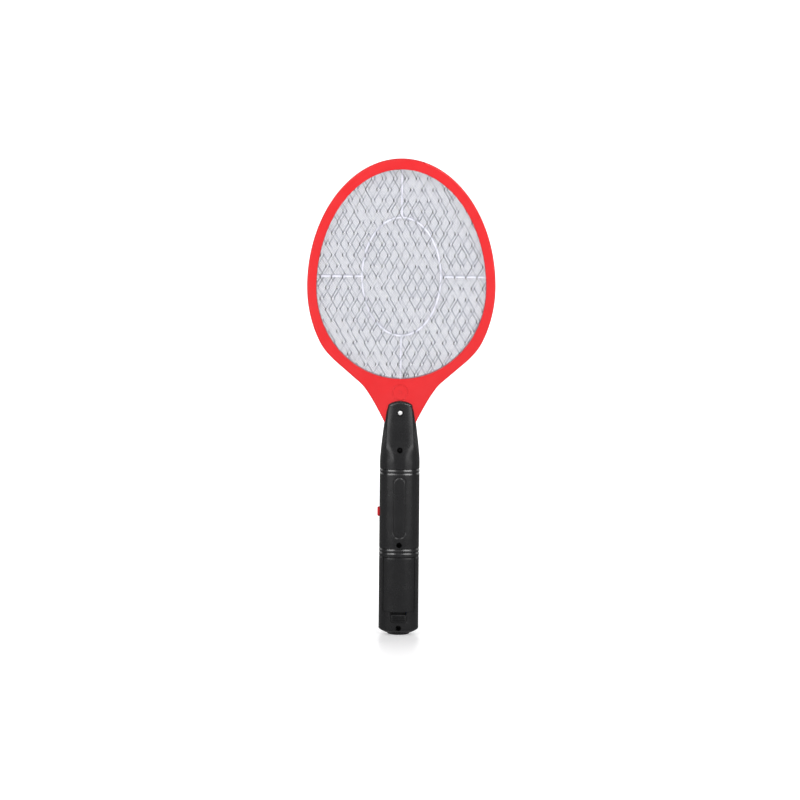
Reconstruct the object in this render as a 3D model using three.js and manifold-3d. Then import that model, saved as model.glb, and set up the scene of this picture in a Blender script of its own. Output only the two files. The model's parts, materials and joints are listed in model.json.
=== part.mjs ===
// An electric fly swatter: a two-layer head frame that holds three nets apart, on a battery handle.
// Millimetres. It stands on the end of its handle: +Z runs up to the head, X is across the head,
// and the battery door faces -Y. The origin is the middle of the foot.
import * as THREE from "three";
import { mergeVertices } from "three/addons/utils/BufferGeometryUtils.js";
import Module from "manifold-3d";

const wasm = await Module();
wasm.setup();

// ---- Driving dimensions ----

const GAP = 0.3; // between pieces that touch
const PARTING = GAP / 2; // each half stops this far from the parting plane, y = 0
const FAR = 30; // past any surface of the handle, for cutting tools

const HEAD = { centreZ: 330, halfWidth: 88.4, upper: 120, lower: 103, halfDepth: 6.5, chamfer: 1.2 };
const FLARE = {
  start: -0.53, // angle round the lower ellipse where the flare leaves it
  knee: [60, 258.5],
  bend: [38, 239.5],
  kneeSlope: 0.716, // angles from the horizontal
  neckSlope: 1.108,
  neckHalfWidth: 14.7,
};
const OPENING = { centreZ: 328.7, halfWidth: 79.6, upper: 111, lower: 85.2 };
const FRAME_WALL = 3.2;
const FRAME_SKIN = 1.6;
const TANG = { halfWidth: 11.5, bottomZ: 152 };

const OUTLINE_STEPS = 44; // round the nets and spacers
const NET = { edge: 4.5, y: 4.2, thickness: 0.8, selvedge: 2.6, cellWidth: 21, cellHeight: 41, wire: 0.8 };
const FINE_NET_THICKNESS = 0.4;
const NET_LINK = { x: [5, 8], drop: 6, lap: 0.1, strip: 0.5, tab: 0.3 };
const NECK_MARK = { z: 229.6, radius: 7.5, line: 0.9, dot: 1.6, proud: 0.35 };
const SPACER = { bar: 2.2, ovalHalfWidth: 36.9, ovalHalfHeight: 55.5, ovalZ: 339.6, rimWidth: 3.9 };

const WALL = 2.2;
const HANDLE_TOP_Z = 201.8;
const STATIONS = [
  { z: 0, halfWidth: 18.4, halfDepth: 16.2, squareness: 2.5 },
  { z: 165, halfWidth: 18.2, halfDepth: 15.9, squareness: 2.5 },
  { z: 176, halfWidth: 17.4, halfDepth: 13.6, squareness: 2.8 },
  { z: 188, halfWidth: 16.1, halfDepth: 11.2, squareness: 3.4 },
  { z: HANDLE_TOP_Z, halfWidth: 14.7, halfDepth: 9.3, squareness: 4.5 },
];
const SECTION_POINTS = 32;
const GROOVES_Z = [78.6, 81.8, 154.9, 158.1];
const GROOVE = { halfHeight: 0.8, depth: 0.6 };
const TONGUE = {
  face: 8.9,
  baseHalfWidth: 14.3,
  halfWidth: 12.3,
  rootZ: HANDLE_TOP_Z - 4,
  shoulderZ: 215.5,
  arch: 6.2,
  archPower: 0.77, // below 1 squares the arch's corners
  archSteps: 10,
  chamfer: 1.3,
};
const FOOT = { halfWidth: 10.7, halfDepth: 8.6, height: 1.3, chamfer: 0.4, steps: 24 };
const FOOT_FILLET = [
  { rise: 0, inset: 2.2 },
  { rise: 0.5, inset: 1 },
  { rise: 2.3, inset: 0 },
];
const PILL = { halfWidth: 6.6, bottomZ: 92.7, topZ: 151.5, groove: 1.5, depth: 0.5 };

const SCREWS = [
  { z: 211.6, mouth: 3.4, seat: -7.7, tip: 7.8, head: 2.15, headHeight: 0.85 },
  { z: 176.8, mouth: 2.65, seat: -9.3, tip: 10.9, head: 2.35, headHeight: 1.6 },
  { z: 86.8, mouth: 2.65, seat: -7, tip: 8.7, head: 2.35, headHeight: 1.6 },
  { z: 7.5, mouth: 2.65, seat: -7, tip: 8.7, head: 2.35, headHeight: 1.6 },
];
const SHANK = 1.2;
const CLEARANCE = 1.6;
const PILOT = SHANK + GAP;
const BOSS = 4.2;
const FRAME_BOSS = 3.6;
const POINT = 1.6; // length of a screw's point

const CELL = { radius: 7.1, x: 7.25, y: -2, length: 49.3, nub: 2.75, nubHeight: 1.2 };
const BAY = { floorZ: 17.6, ceilingZ: 75, plate: 0.5, wall: 2, front: -7, halfWidth: 14.5 };
const CRADLES_Z = [34, 60];
const CONTACT = { outerX: 13.6, innerX: 1.2, back: 4 };
const SPRING = { base: 4.6, tip: 3, gauge: 0.4, turns: 2.2, steps: 22 };
const DOOR = { halfWidth: 14.5, bottomZ: 23.2, topZ: 74.7, inner: -5 };
const LATCH = {
  halfWidth: 7.2,
  bottomZ: 13.7,
  topZ: 20.4,
  wall: 1.5,
  fold: 1.2,
  reach: -10.2,
  root: -14.6,
  armHalfWidth: 6.6,
};
const RIDGES = { z: [15.2, 16.7, 18.2], height: 0.7, halfWidth: 5.6, floor: -15.7 };
const HOOK = { inner: 7, outer: 11, root: -13.2, face: -11.2, back: -9.8, neck: 2.7, lap: 1, topZ: 77 };

const BUTTON = { z: 118.3, halfHeight: 4.6, halfWidth: 3.2, outerX: -20.9, innerX: -14.4, chamfer: 0.6 };
const FLANGE = { outerX: -15.5, halfDepth: 4, halfHeight: 6.2 };
const SWITCH = { outerX: -11.2, innerX: -7.6, halfDepth: 2.9, halfHeight: 3.1, bore: 2, boreX: -9 };
const PLUNGER = { radius: 1.6, innerX: -10.6 };
const BOARD = { face: 3, thickness: 1.6, halfWidth: 12.5, bottomZ: 91.5, topZ: 147.5, hole: 1.3 };
const BOARD_SCREWS = [
  { x: -8.5, z: 96 },
  { x: 8.5, z: 143.5 },
];
const BOARD_POST = { radius: 2.6, pilot: 1.1, pilotEnd: 10.4 };
const BOARD_SCREW = { head: 2, headHeight: 1.4, shank: 0.8, length: 7.4 };
const TRANSFORMER = { y: -3.4, z: 132.5, halfWidth: 8, halfDepth: 2.5, halfHeight: 7 };
const WINDOW = { x: 4, halfWidth: 1.8, halfHeight: 4.8 };
const WINDING = { radius: 2.6, length: 5, stretch: 1.9, half: [5.5, 5.2, 4.4] };
const FILM_CAPACITOR = { x: 1, z: 106.5, halfWidth: 8.5, halfHeight: 5.5, halfDepth: 3.2, stand: 4.4 };
const TRANSISTOR = { x: -3, z: 118.5, radius: 2.3, wrap: 0.6, length: 4.6, legPitch: 1.27, stand: 2.6 };
const DIODE = { x: 6.8, z: [115.3, 118.8, 122.3], radius: 1.25, bodyLength: 4.4, length: 8.4 };
const RESISTOR = { x: 7.6, z: [96.2, 99.4], radius: 1.15, bodyLength: 5, length: 9 };
const AXIAL_STAND = 1.3;
const LEAD = { axial: 0.35, leg: 0.3 };
const WIRE_RADIUS = 0.75;
const BATTERY_WIRE = { radius: 0.6, x: 10, y: 4, hole: 1.3 };
const LAMP = { z: 136, radius: 1.5, tipY: 15.8, length: 4.6, collar: 0.2, legX: 0.8 };

// ---- Solids ----

function solid(geometry) {
  const bare = geometry.clone();
  bare.deleteAttribute("normal");
  bare.deleteAttribute("uv");
  const merged = mergeVertices(bare);
  const vertProperties = new Float32Array(merged.attributes.position.array);
  const triVerts = new Uint32Array(merged.index.array);
  return new wasm.Manifold(new wasm.Mesh({ numProp: 3, vertProperties, triVerts }));
}

function geometryOf(made) {
  const mesh = made.getMesh();
  const geometry = new THREE.BufferGeometry();
  const positions = new Float32Array(mesh.vertProperties);
  geometry.setAttribute("position", new THREE.BufferAttribute(positions, 3));
  geometry.setIndex(new THREE.BufferAttribute(new Uint32Array(mesh.triVerts), 1));
  geometry.computeVertexNormals();
  return geometry;
}

function join(...pieces) {
  return geometryOf(pieces.map(solid).reduce((whole, piece) => whole.add(piece)));
}

function cut(body, ...tools) {
  return geometryOf(tools.map(solid).reduce((left, tool) => left.subtract(tool), solid(body)));
}

function common(body, tool) {
  return geometryOf(solid(body).intersect(solid(tool)));
}

function box(x0, x1, y0, y1, z0, z1) {
  const geometry = new THREE.BoxGeometry(x1 - x0, y1 - y0, z1 - z0);
  return geometry.translate((x0 + x1) / 2, (y0 + y1) / 2, (z0 + z1) / 2);
}

function rodY(radius, y0, y1, x, z, segments = 14) {
  const geometry = new THREE.CylinderGeometry(radius, radius, y1 - y0, segments);
  return geometry.translate(x, (y0 + y1) / 2, z);
}

function rodX(radius, x0, x1, y, z, segments = 12) {
  const geometry = new THREE.CylinderGeometry(radius, radius, x1 - x0, segments);
  return geometry.rotateZ(Math.PI / 2).translate((x0 + x1) / 2, y, z);
}

function rodZ(radius, z0, z1, x, y, segments = 16) {
  const geometry = new THREE.CylinderGeometry(radius, radius, z1 - z0, segments);
  return geometry.rotateX(Math.PI / 2).translate(x, y, (z0 + z1) / 2);
}

// An outline drawn in X and Z, given thickness along Y.
function plateY(shape, y0, y1, chamfer = 0) {
  const geometry = new THREE.ExtrudeGeometry(shape, {
    depth: y1 - y0 - 2 * chamfer,
    bevelEnabled: chamfer > 0,
    bevelThickness: chamfer,
    bevelSize: chamfer,
    bevelOffset: -chamfer,
    bevelSegments: 1,
  });
  return geometry.rotateX(Math.PI / 2).translate(0, y1 - chamfer, 0);
}

// An outline drawn in Y and Z, given thickness along X.
function plateX(shape, x0, x1, chamfer = 0) {
  const geometry = new THREE.ExtrudeGeometry(shape, {
    depth: x1 - x0 - 2 * chamfer,
    bevelEnabled: chamfer > 0,
    bevelThickness: chamfer,
    bevelSize: chamfer,
    bevelOffset: -chamfer,
    bevelSegments: 1,
  });
  const turn = new THREE.Matrix4().makeBasis(
    new THREE.Vector3(0, 1, 0),
    new THREE.Vector3(0, 0, 1),
    new THREE.Vector3(1, 0, 0),
  );
  return geometry.applyMatrix4(turn).translate(x0 + chamfer, 0, 0);
}

function lathe(profile, segments) {
  return new THREE.LatheGeometry(
    profile.map(([radius, height]) => new THREE.Vector2(radius, height)),
    segments,
  );
}

function polygon(radius, sides) {
  const points = Array.from({ length: sides }, (_, i) => {
    const angle = (2 * Math.PI * i) / sides;
    return new THREE.Vector2(radius * Math.cos(angle), radius * Math.sin(angle));
  });
  return new THREE.Shape(points);
}

function wire(points, radius, steps, sides = 8) {
  const path = new THREE.CatmullRomCurve3(points.map((point) => new THREE.Vector3(...point)));
  return new THREE.ExtrudeGeometry(polygon(radius, sides), { steps, extrudePath: path });
}

// ---- Outlines of the head ----

// A closed egg about centreZ: one half-ellipse above its widest line and another below it.
function egg({ centreZ, halfWidth, upper, lower }, grow = 0, count = 48) {
  return Array.from({ length: count }, (_, i) => {
    const angle = (2 * Math.PI * i) / count;
    const rise = Math.sin(angle) > 0 ? upper + grow : lower + grow;
    return new THREE.Vector2((halfWidth + grow) * Math.cos(angle), centreZ + rise * Math.sin(angle));
  });
}

// A curve that leaves one point and reaches another along the given slopes, both going down and inwards.
function slopeCurve(from, fromSlope, to, toSlope, divisions) {
  const acrossX = from[0] - to[0];
  const downZ = from[1] - to[1];
  const turn = Math.sin(toSlope - fromSlope);
  const reach = (acrossX * Math.sin(toSlope) - downZ * Math.cos(toSlope)) / turn;
  const corner = [from[0] - reach * Math.cos(fromSlope), from[1] - reach * Math.sin(fromSlope)];
  const ends = [from, corner, to].map((point) => new THREE.Vector2(...point));
  return new THREE.QuadraticBezierCurve(...ends).getPoints(divisions).slice(1);
}

// The right half of the frame's outline, from the crown down to the end of the tang.
function frameRightSide() {
  const crownSteps = 14;
  const cheekSteps = 4;
  const points = [];
  for (let i = 0; i <= crownSteps; i++) {
    const angle = (Math.PI / 2) * (1 - i / crownSteps);
    const z = HEAD.centreZ + HEAD.upper * Math.sin(angle);
    points.push(new THREE.Vector2(HEAD.halfWidth * Math.cos(angle), z));
  }
  for (let i = 1; i <= cheekSteps; i++) {
    const angle = (FLARE.start * i) / cheekSteps;
    const z = HEAD.centreZ + HEAD.lower * Math.sin(angle);
    points.push(new THREE.Vector2(HEAD.halfWidth * Math.cos(angle), z));
  }
  const cheek = points[points.length - 1];
  const rise = HEAD.lower * Math.cos(FLARE.start);
  const run = -HEAD.halfWidth * Math.sin(FLARE.start);
  const cheekSlope = Math.atan2(rise, run);
  const shoulderZ = HANDLE_TOP_Z + GAP;
  const neck = [FLARE.neckHalfWidth, shoulderZ];
  points.push(...slopeCurve([cheek.x, cheek.y], cheekSlope, FLARE.knee, FLARE.kneeSlope, 4));
  points.push(new THREE.Vector2(...FLARE.bend));
  points.push(...slopeCurve(FLARE.bend, FLARE.kneeSlope, neck, FLARE.neckSlope, 6));
  points.push(new THREE.Vector2(TANG.halfWidth, shoulderZ));
  points.push(new THREE.Vector2(TANG.halfWidth, TANG.bottomZ));
  return points;
}

function mirrored(rightSide) {
  const leftSide = rightSide
    .filter((point) => point.x > 1e-6)
    .map((point) => new THREE.Vector2(-point.x, point.y))
    .reverse();
  return [...rightSide, ...leftSide];
}

// Every edge of a clockwise outline moved inwards by the same distance.
function insetOutline(points, distance) {
  const inward = (from, to) => {
    const along = to.clone().sub(from).normalize();
    return new THREE.Vector2(along.y, -along.x);
  };
  return points.map((point, i) => {
    const before = inward(points.at(i - 1), point);
    const after = inward(point, points[(i + 1) % points.length]);
    const reach = distance / (1 + before.dot(after));
    return point.clone().add(before.add(after).multiplyScalar(reach));
  });
}

// ---- Head frame ----

function frameBlank() {
  const outline = mirrored(frameRightSide());
  const shape = new THREE.Shape(outline);
  shape.holes.push(new THREE.Path(egg(OPENING)));
  const blank = plateY(shape, -HEAD.halfDepth, HEAD.halfDepth, HEAD.chamfer);
  const innerDepth = HEAD.halfDepth - FRAME_SKIN;
  const hollow = plateY(new THREE.Shape(insetOutline(outline, FRAME_WALL)), -innerDepth, innerDepth);
  const wireMouth = TANG.halfWidth - FRAME_WALL;
  const mouthTop = TANG.bottomZ + 2 * FRAME_WALL;
  const mouth = box(-wireMouth, wireMouth, -innerDepth, innerDepth, TANG.bottomZ - 1, mouthTop);
  return cut(blank, hollow, mouth);
}

function frameHalf(blank, side) {
  const outer = HEAD.halfDepth;
  const inner = outer - FRAME_SKIN / 2;
  const [y0, y1] = side < 0 ? [-outer - 1, -PARTING] : [PARTING, outer + 1];
  const reach = HEAD.halfWidth + 1;
  const half = common(blank, box(-reach, reach, y0, y1, 0, HEAD.centreZ + HEAD.upper + 1));
  const [boss0, boss1] = side < 0 ? [-inner, -PARTING] : [PARTING, inner];
  const bosses = SCREWS.slice(0, 2).map(({ z }) => rodY(FRAME_BOSS, boss0, boss1, 0, z));
  const holes = SCREWS.slice(0, 2).map(({ z }) => rodY(CLEARANCE, -FAR, FAR, 0, z, 12));
  return cut(join(half, ...bosses), ...holes);
}

// A raised ring with a dot in it, moulded on the neck above the handle.
function neckMark() {
  const { z, radius, line, dot, proud } = NECK_MARK;
  const top = -HEAD.halfDepth - proud;
  const root = -HEAD.halfDepth + FRAME_SKIN / 2;
  const disc = rodY(radius, top, root, 0, z, 24);
  const bore = rodY(radius - line, top - 1, root + 1, 0, z, 24);
  return [cut(disc, bore), rodY(dot, top, root, 0, z, 12)];
}

// ---- Nets and spacers ----

function netPlate(y, thickness, holes) {
  const outline = new THREE.Shape(egg(OPENING, NET.edge, OUTLINE_STEPS));
  const plate = plateY(outline, y - thickness / 2, y + thickness / 2);
  return holes ? cut(plate, holes) : plate;
}

// Diamond openings of expanded wire, kept inside the selvedge; shift moves the lattice sideways.
function diamondHoles(y, shift) {
  const halfWidth = NET.cellWidth / 2;
  const halfHeight = NET.cellHeight / 2;
  const toEdge = (halfWidth * halfHeight) / Math.hypot(halfWidth, halfHeight);
  const shrink = 1 - NET.wire / 2 / toEdge;
  const limit = NET.edge - NET.selvedge;
  const diamonds = [];
  const columns = Math.ceil(OPENING.halfWidth / halfWidth) + 1;
  const rows = Math.ceil(OPENING.upper / halfHeight) + 1;
  for (let row = -rows; row <= rows; row++) {
    for (let column = -columns; column <= columns; column++) {
      if ((row + column) % 2 !== 0) continue;
      const x = column * halfWidth + shift;
      const rise = row * halfHeight;
      const reach = (rise > 0 ? OPENING.upper : OPENING.lower) + NET.cellHeight / 4;
      if (Math.hypot(x / (OPENING.halfWidth + NET.cellWidth / 4), rise / reach) > 1) continue;
      const z = OPENING.centreZ + rise;
      diamonds.push(
        new THREE.Shape([
          new THREE.Vector2(x + halfWidth * shrink, z),
          new THREE.Vector2(x, z + halfHeight * shrink),
          new THREE.Vector2(x - halfWidth * shrink, z),
          new THREE.Vector2(x, z - halfHeight * shrink),
        ]),
      );
    }
  }
  const tools = plateY(diamonds, y - NET.thickness, y + NET.thickness);
  const field = plateY(new THREE.Shape(egg(OPENING, limit, OUTLINE_STEPS)), y - FAR, y + FAR);
  return common(tools, field);
}

function spacer(y0, y1) {
  const rim = new THREE.Shape(egg(OPENING, NET.edge, OUTLINE_STEPS));
  rim.holes.push(new THREE.Path(egg(OPENING, NET.edge - SPACER.rimWidth, OUTLINE_STEPS)));
  const ovalAt = (grow) => ({
    centreZ: SPACER.ovalZ,
    halfWidth: SPACER.ovalHalfWidth + grow,
    upper: SPACER.ovalHalfHeight + grow,
    lower: SPACER.ovalHalfHeight + grow,
  });
  const half = SPACER.bar / 2;
  const oval = new THREE.Shape(egg(ovalAt(half), 0, 36));
  oval.holes.push(new THREE.Path(egg(ovalAt(-half), 0, 36)));
  const top = OPENING.centreZ + OPENING.upper + half;
  const bottom = OPENING.centreZ - OPENING.lower - half;
  const side = OPENING.halfWidth + half;
  const ovalTop = SPACER.ovalZ + SPACER.ovalHalfHeight;
  const ovalBottom = SPACER.ovalZ - SPACER.ovalHalfHeight;
  return join(
    plateY(rim, y0, y1),
    plateY(oval, y0, y1),
    box(-half, half, y0, y1, ovalTop, top),
    box(-half, half, y0, y1, bottom, ovalBottom),
    box(-side, -SPACER.ovalHalfWidth, y0, y1, SPACER.ovalZ - half, SPACER.ovalZ + half),
    box(SPACER.ovalHalfWidth, side, y0, y1, SPACER.ovalZ - half, SPACER.ovalZ + half),
  );
}

// ---- Handle shells ----

function sectionAt(z, inset) {
  const above = Math.max(1, STATIONS.findIndex((station) => station.z >= z));
  const low = STATIONS[above - 1];
  const high = STATIONS[above];
  const mix = (z - low.z) / (high.z - low.z);
  const blend = (key) => low[key] + (high[key] - low[key]) * mix;
  const halfWidth = blend("halfWidth") - inset;
  const halfDepth = blend("halfDepth") - inset;
  const power = 2 / blend("squareness");
  return Array.from({ length: SECTION_POINTS }, (_, i) => {
    const angle = (2 * Math.PI * i) / SECTION_POINTS;
    const x = Math.sign(Math.cos(angle)) * Math.abs(Math.cos(angle)) ** power * halfWidth;
    const y = Math.sign(Math.sin(angle)) * Math.abs(Math.sin(angle)) ** power * halfDepth;
    return new THREE.Vector3(x, y, z);
  });
}

// A closed body through level rings of SECTION_POINTS points each, lowest first.
function loft(rings) {
  const positions = rings.flat().flatMap((point) => point.toArray());
  const indices = [];
  const last = (rings.length - 1) * SECTION_POINTS;
  for (let ring = 0; ring < rings.length - 1; ring++) {
    for (let i = 0; i < SECTION_POINTS; i++) {
      const here = ring * SECTION_POINTS + i;
      const next = ring * SECTION_POINTS + ((i + 1) % SECTION_POINTS);
      indices.push(here, next, next + SECTION_POINTS);
      indices.push(here, next + SECTION_POINTS, here + SECTION_POINTS);
    }
  }
  for (let i = 1; i < SECTION_POINTS - 1; i++) {
    indices.push(0, i + 1, i);
    indices.push(last, last + i, last + i + 1);
  }
  const geometry = new THREE.BufferGeometry();
  geometry.setAttribute("position", new THREE.Float32BufferAttribute(positions, 3));
  geometry.setIndex(indices);
  return geometry;
}

function gripOutside(inset = 0) {
  const fillet = FOOT_FILLET.map(({ rise, inset: round }) => ({ z: FOOT.height + rise, inset: round }));
  const grooves = GROOVES_Z.flatMap((z) => [
    { z: z - GROOVE.halfHeight, inset: 0 },
    { z, inset: GROOVE.depth },
    { z: z + GROOVE.halfHeight, inset: 0 },
  ]);
  const upper = STATIONS.slice(1).map(({ z }) => ({ z, inset: 0 }));
  return loft([...fillet, ...grooves, ...upper].map((ring) => sectionAt(ring.z, ring.inset + inset)));
}

function gripInside() {
  const rings = [{ z: FOOT.height + WALL }, ...STATIONS.slice(1)].map(({ z }) => sectionAt(z, WALL));
  const mouth = rings.at(-1).map((point) => new THREE.Vector3(point.x, point.y, point.z + 1));
  return loft([...rings, mouth]);
}

function tangRoom() {
  const x = TANG.halfWidth + GAP;
  const y = HEAD.halfDepth + GAP;
  return box(-x, x, -y, y, TANG.bottomZ - 2, HANDLE_TOP_Z + 1);
}

// A lap over the frame's neck, arched at its top; the face is on the side given.
function tongue(side) {
  const { baseHalfWidth, rootZ, archPower, archSteps } = TONGUE;
  const points = [new THREE.Vector2(baseHalfWidth, rootZ)];
  for (let i = 0; i <= archSteps; i++) {
    const angle = (Math.PI * i) / archSteps;
    const x = Math.sign(Math.cos(angle)) * Math.abs(Math.cos(angle)) ** archPower * TONGUE.halfWidth;
    const z = TONGUE.shoulderZ + Math.abs(Math.sin(angle)) ** archPower * TONGUE.arch;
    points.push(new THREE.Vector2(x, z));
  }
  points.push(new THREE.Vector2(-baseHalfWidth, rootZ));
  const plate = plateY(new THREE.Shape(points), -TONGUE.face, TONGUE.face, TONGUE.chamfer);
  const under = HEAD.halfDepth + GAP;
  const [y0, y1] = side < 0 ? [-FAR, -under] : [under, FAR];
  return common(plate, box(-FAR, FAR, y0, y1, 0, HEAD.centreZ));
}

function footBoss() {
  const points = Array.from({ length: FOOT.steps }, (_, i) => {
    const angle = (2 * Math.PI * i) / FOOT.steps;
    return new THREE.Vector2(FOOT.halfWidth * Math.cos(angle), FOOT.halfDepth * Math.sin(angle));
  });
  const boss = new THREE.ExtrudeGeometry(new THREE.Shape(points), {
    depth: FOOT.height,
    bevelEnabled: true,
    bevelThickness: FOOT.chamfer,
    bevelSize: FOOT.chamfer,
    bevelOffset: -FOOT.chamfer,
    bevelSegments: 1,
  });
  return boss.translate(0, 0, FOOT.chamfer);
}

// What both handle halves share: the outer body, hollowed, with room for the frame's tang.
function handleBody() {
  return join(cut(gripOutside(), gripInside(), tangRoom()), footBoss());
}

function halfOf(body, side) {
  const [y0, y1] = side < 0 ? [-FAR, -PARTING] : [PARTING, FAR];
  return common(body, box(-FAR, FAR, y0, y1, -1, HEAD.centreZ));
}

// Screw columns that grow from the wall of one half to the parting plane or to the tang.
function screwColumns(side) {
  const under = HEAD.halfDepth + GAP;
  const columns = SCREWS.slice(1).map(({ z }) => {
    const stop = z > TANG.bottomZ ? under : PARTING;
    return side < 0 ? rodY(BOSS, -FAR, -stop, 0, z) : rodY(BOSS, stop, FAR, 0, z);
  });
  return columns.map((column) => common(column, gripOutside(WALL / 2)));
}

function buttonShape(clearance) {
  const halfWidth = BUTTON.halfWidth + clearance;
  const halfHeight = BUTTON.halfHeight + clearance;
  const shape = new THREE.Shape();
  shape.absarc(0, BUTTON.z + halfHeight - halfWidth, halfWidth, 0, Math.PI);
  shape.absarc(0, BUTTON.z - halfHeight + halfWidth, halfWidth, Math.PI, 2 * Math.PI);
  return new THREE.Shape(shape.getPoints(4));
}

function buttonHole() {
  return plateX(buttonShape(GAP), -FAR, BUTTON.innerX + 1);
}

// A groove that runs round a long pill outline on the grip.
function pillGroove() {
  const pill = (halfWidth) => {
    const shape = new THREE.Shape();
    const end = PILL.halfWidth;
    shape.absarc(0, PILL.topZ - end, halfWidth, 0, Math.PI);
    shape.absarc(0, PILL.bottomZ + end, halfWidth, Math.PI, 2 * Math.PI);
    return shape.getPoints(6);
  };
  const outline = new THREE.Shape(pill(PILL.halfWidth));
  outline.holes.push(new THREE.Path(pill(PILL.halfWidth - PILL.groove)));
  return cut(plateY(outline, -FAR, -WALL), gripOutside(PILL.depth));
}

function doorOpening() {
  const side = DOOR.halfWidth + GAP;
  const tab = LATCH.halfWidth + GAP;
  return [
    box(-side, side, -FAR, DOOR.inner, DOOR.bottomZ - GAP, DOOR.topZ + GAP),
    box(-tab, tab, -FAR, DOOR.inner, LATCH.bottomZ - GAP, DOOR.bottomZ + 1),
  ];
}

function backShell() {
  const half = join(halfOf(handleBody(), -1), tongue(-1), ...screwColumns(-1));
  const screwHoles = SCREWS.flatMap(({ z, mouth, seat }) => [
    rodY(mouth, -FAR, seat, 0, z, 16),
    rodY(CLEARANCE, -FAR, 0, 0, z, 12),
  ]);
  return cut(half, ...screwHoles, ...doorOpening(), buttonHole(), pillGroove());
}

function bayWall(z0, z1) {
  const within = common(box(-FAR, FAR, PARTING, FAR, z0, z1), gripOutside(WALL / 2));
  const shelf = box(-BAY.halfWidth, BAY.halfWidth, BAY.front, 1, z0, z1);
  return join(within, shelf);
}

function cellCradle(z) {
  const rib = common(box(-FAR, FAR, PARTING, FAR, z, z + BAY.wall), gripOutside(WALL / 2));
  const seats = [-CELL.x, CELL.x].map((x) => rodZ(CELL.radius + GAP, z - 1, z + BAY.wall + 1, x, CELL.y, 20));
  return cut(rib, ...seats);
}

function frontShell() {
  const boardBack = BOARD.face + BOARD.thickness;
  const posts = BOARD_SCREWS.map(({ x, z }) => {
    const post = rodY(BOARD_POST.radius, boardBack + GAP, FAR, x, z, 12);
    return common(post, gripOutside(WALL / 2));
  });
  const walls = [BAY.floorZ - BAY.wall, BAY.ceilingZ].map((z) => bayWall(z, z + BAY.wall));
  const half = join(
    halfOf(handleBody(), 1),
    tongue(1),
    ...screwColumns(1),
    ...walls,
    ...CRADLES_Z.map(cellCradle),
    ...posts,
  );
  const pilots = SCREWS.map(({ z, tip }) => rodY(PILOT, 0, tip + GAP, 0, z, 12));
  const { pilot, pilotEnd } = BOARD_POST;
  const postPilots = BOARD_SCREWS.map(({ x, z }) => rodY(pilot, 0, pilotEnd, x, z, 10));
  const wireHoles = [-BATTERY_WIRE.x, BATTERY_WIRE.x].map((x) =>
    rodZ(BATTERY_WIRE.hole, BAY.ceilingZ - 1, BAY.ceilingZ + BAY.wall + 1, x, BATTERY_WIRE.y, 10),
  );
  const lampHole = rodY(LAMP.radius + GAP, BAY.wall, FAR, 0, LAMP.z, 12);
  return cut(half, ...pilots, ...postPilots, ...wireHoles, lampHole, buttonHole());
}

// ---- Battery door ----

// The panel is a piece of the grip's wall; a U-shaped spring at its foot carries the latch tab.
function batteryDoor() {
  const wall = cut(gripOutside(), gripInside());
  const { halfWidth, wall: leaf, fold, reach, root, armHalfWidth: arm } = LATCH;
  const { halfWidth: side, inner, bottomZ, topZ } = DOOR;
  const panel = common(wall, box(-side, side, -FAR, inner, bottomZ, topZ));
  const tab = common(wall, box(-halfWidth, halfWidth, -FAR, inner, LATCH.bottomZ, LATCH.topZ));
  const spring = [
    box(-arm, arm, root, reach, bottomZ, bottomZ + leaf),
    box(-arm, arm, root, reach, LATCH.topZ - leaf, LATCH.topZ),
    box(-arm, arm, reach - fold, reach, LATCH.topZ - leaf, bottomZ + leaf),
  ];
  const hooks = [-1, 1].flatMap((sign) => {
    const [x0, x1] = [sign * HOOK.inner, sign * HOOK.outer].sort((a, b) => a - b);
    return [
      box(x0, x1, HOOK.root, HOOK.back, topZ - HOOK.neck, topZ),
      box(x0, x1, HOOK.face, HOOK.back, topZ - HOOK.lap, HOOK.topZ),
    ];
  });
  const { halfWidth: ridge, floor, height } = RIDGES;
  const ridges = RIDGES.z.map((z) => box(-ridge, ridge, -FAR, floor, z, z + height));
  return cut(join(panel, tab, ...spring, ...hooks), ...ridges);
}

// ---- Button and switch ----

function pushButton() {
  const { z, outerX, innerX, chamfer } = BUTTON;
  const { halfDepth, halfHeight } = FLANGE;
  const cap = plateX(buttonShape(0), outerX, innerX, chamfer);
  const trimmed = common(cap, box(-FAR, innerX - 0.8, -FAR, FAR, 0, HEAD.centreZ));
  const flange = box(FLANGE.outerX, innerX, -halfDepth, halfDepth, z - halfHeight, z + halfHeight);
  return join(trimmed, flange);
}

function switchBody() {
  const { outerX, innerX, halfDepth, halfHeight, bore, boreX } = SWITCH;
  const { z } = BUTTON;
  const body = box(outerX, innerX, -halfDepth, BOARD.face - GAP, z - halfHeight, z + halfHeight);
  return cut(body, rodX(bore, outerX - 1, boreX, 0, z));
}

function switchPlunger() {
  return rodX(PLUNGER.radius, BUTTON.innerX + GAP, PLUNGER.innerX, 0, BUTTON.z);
}

// ---- Board and its components, each about its own middle ----

function circuitBoard() {
  const { face, thickness, halfWidth, bottomZ, topZ } = BOARD;
  const board = box(-halfWidth, halfWidth, face, face + thickness, bottomZ, topZ);
  return cut(board, ...BOARD_SCREWS.map(({ x, z }) => rodY(BOARD.hole, 0, FAR, x, z, 12)));
}

function transformerCore() {
  const { halfWidth, halfDepth, halfHeight } = TRANSFORMER;
  const windows = [-WINDOW.x, WINDOW.x].map((x) => {
    const [x0, x1] = [x - WINDOW.halfWidth, x + WINDOW.halfWidth];
    return box(x0, x1, -FAR, FAR, -WINDOW.halfHeight, WINDOW.halfHeight);
  });
  const core = box(-halfWidth, halfWidth, -halfDepth, halfDepth, -halfHeight, halfHeight);
  return cut(core, ...windows);
}

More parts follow.
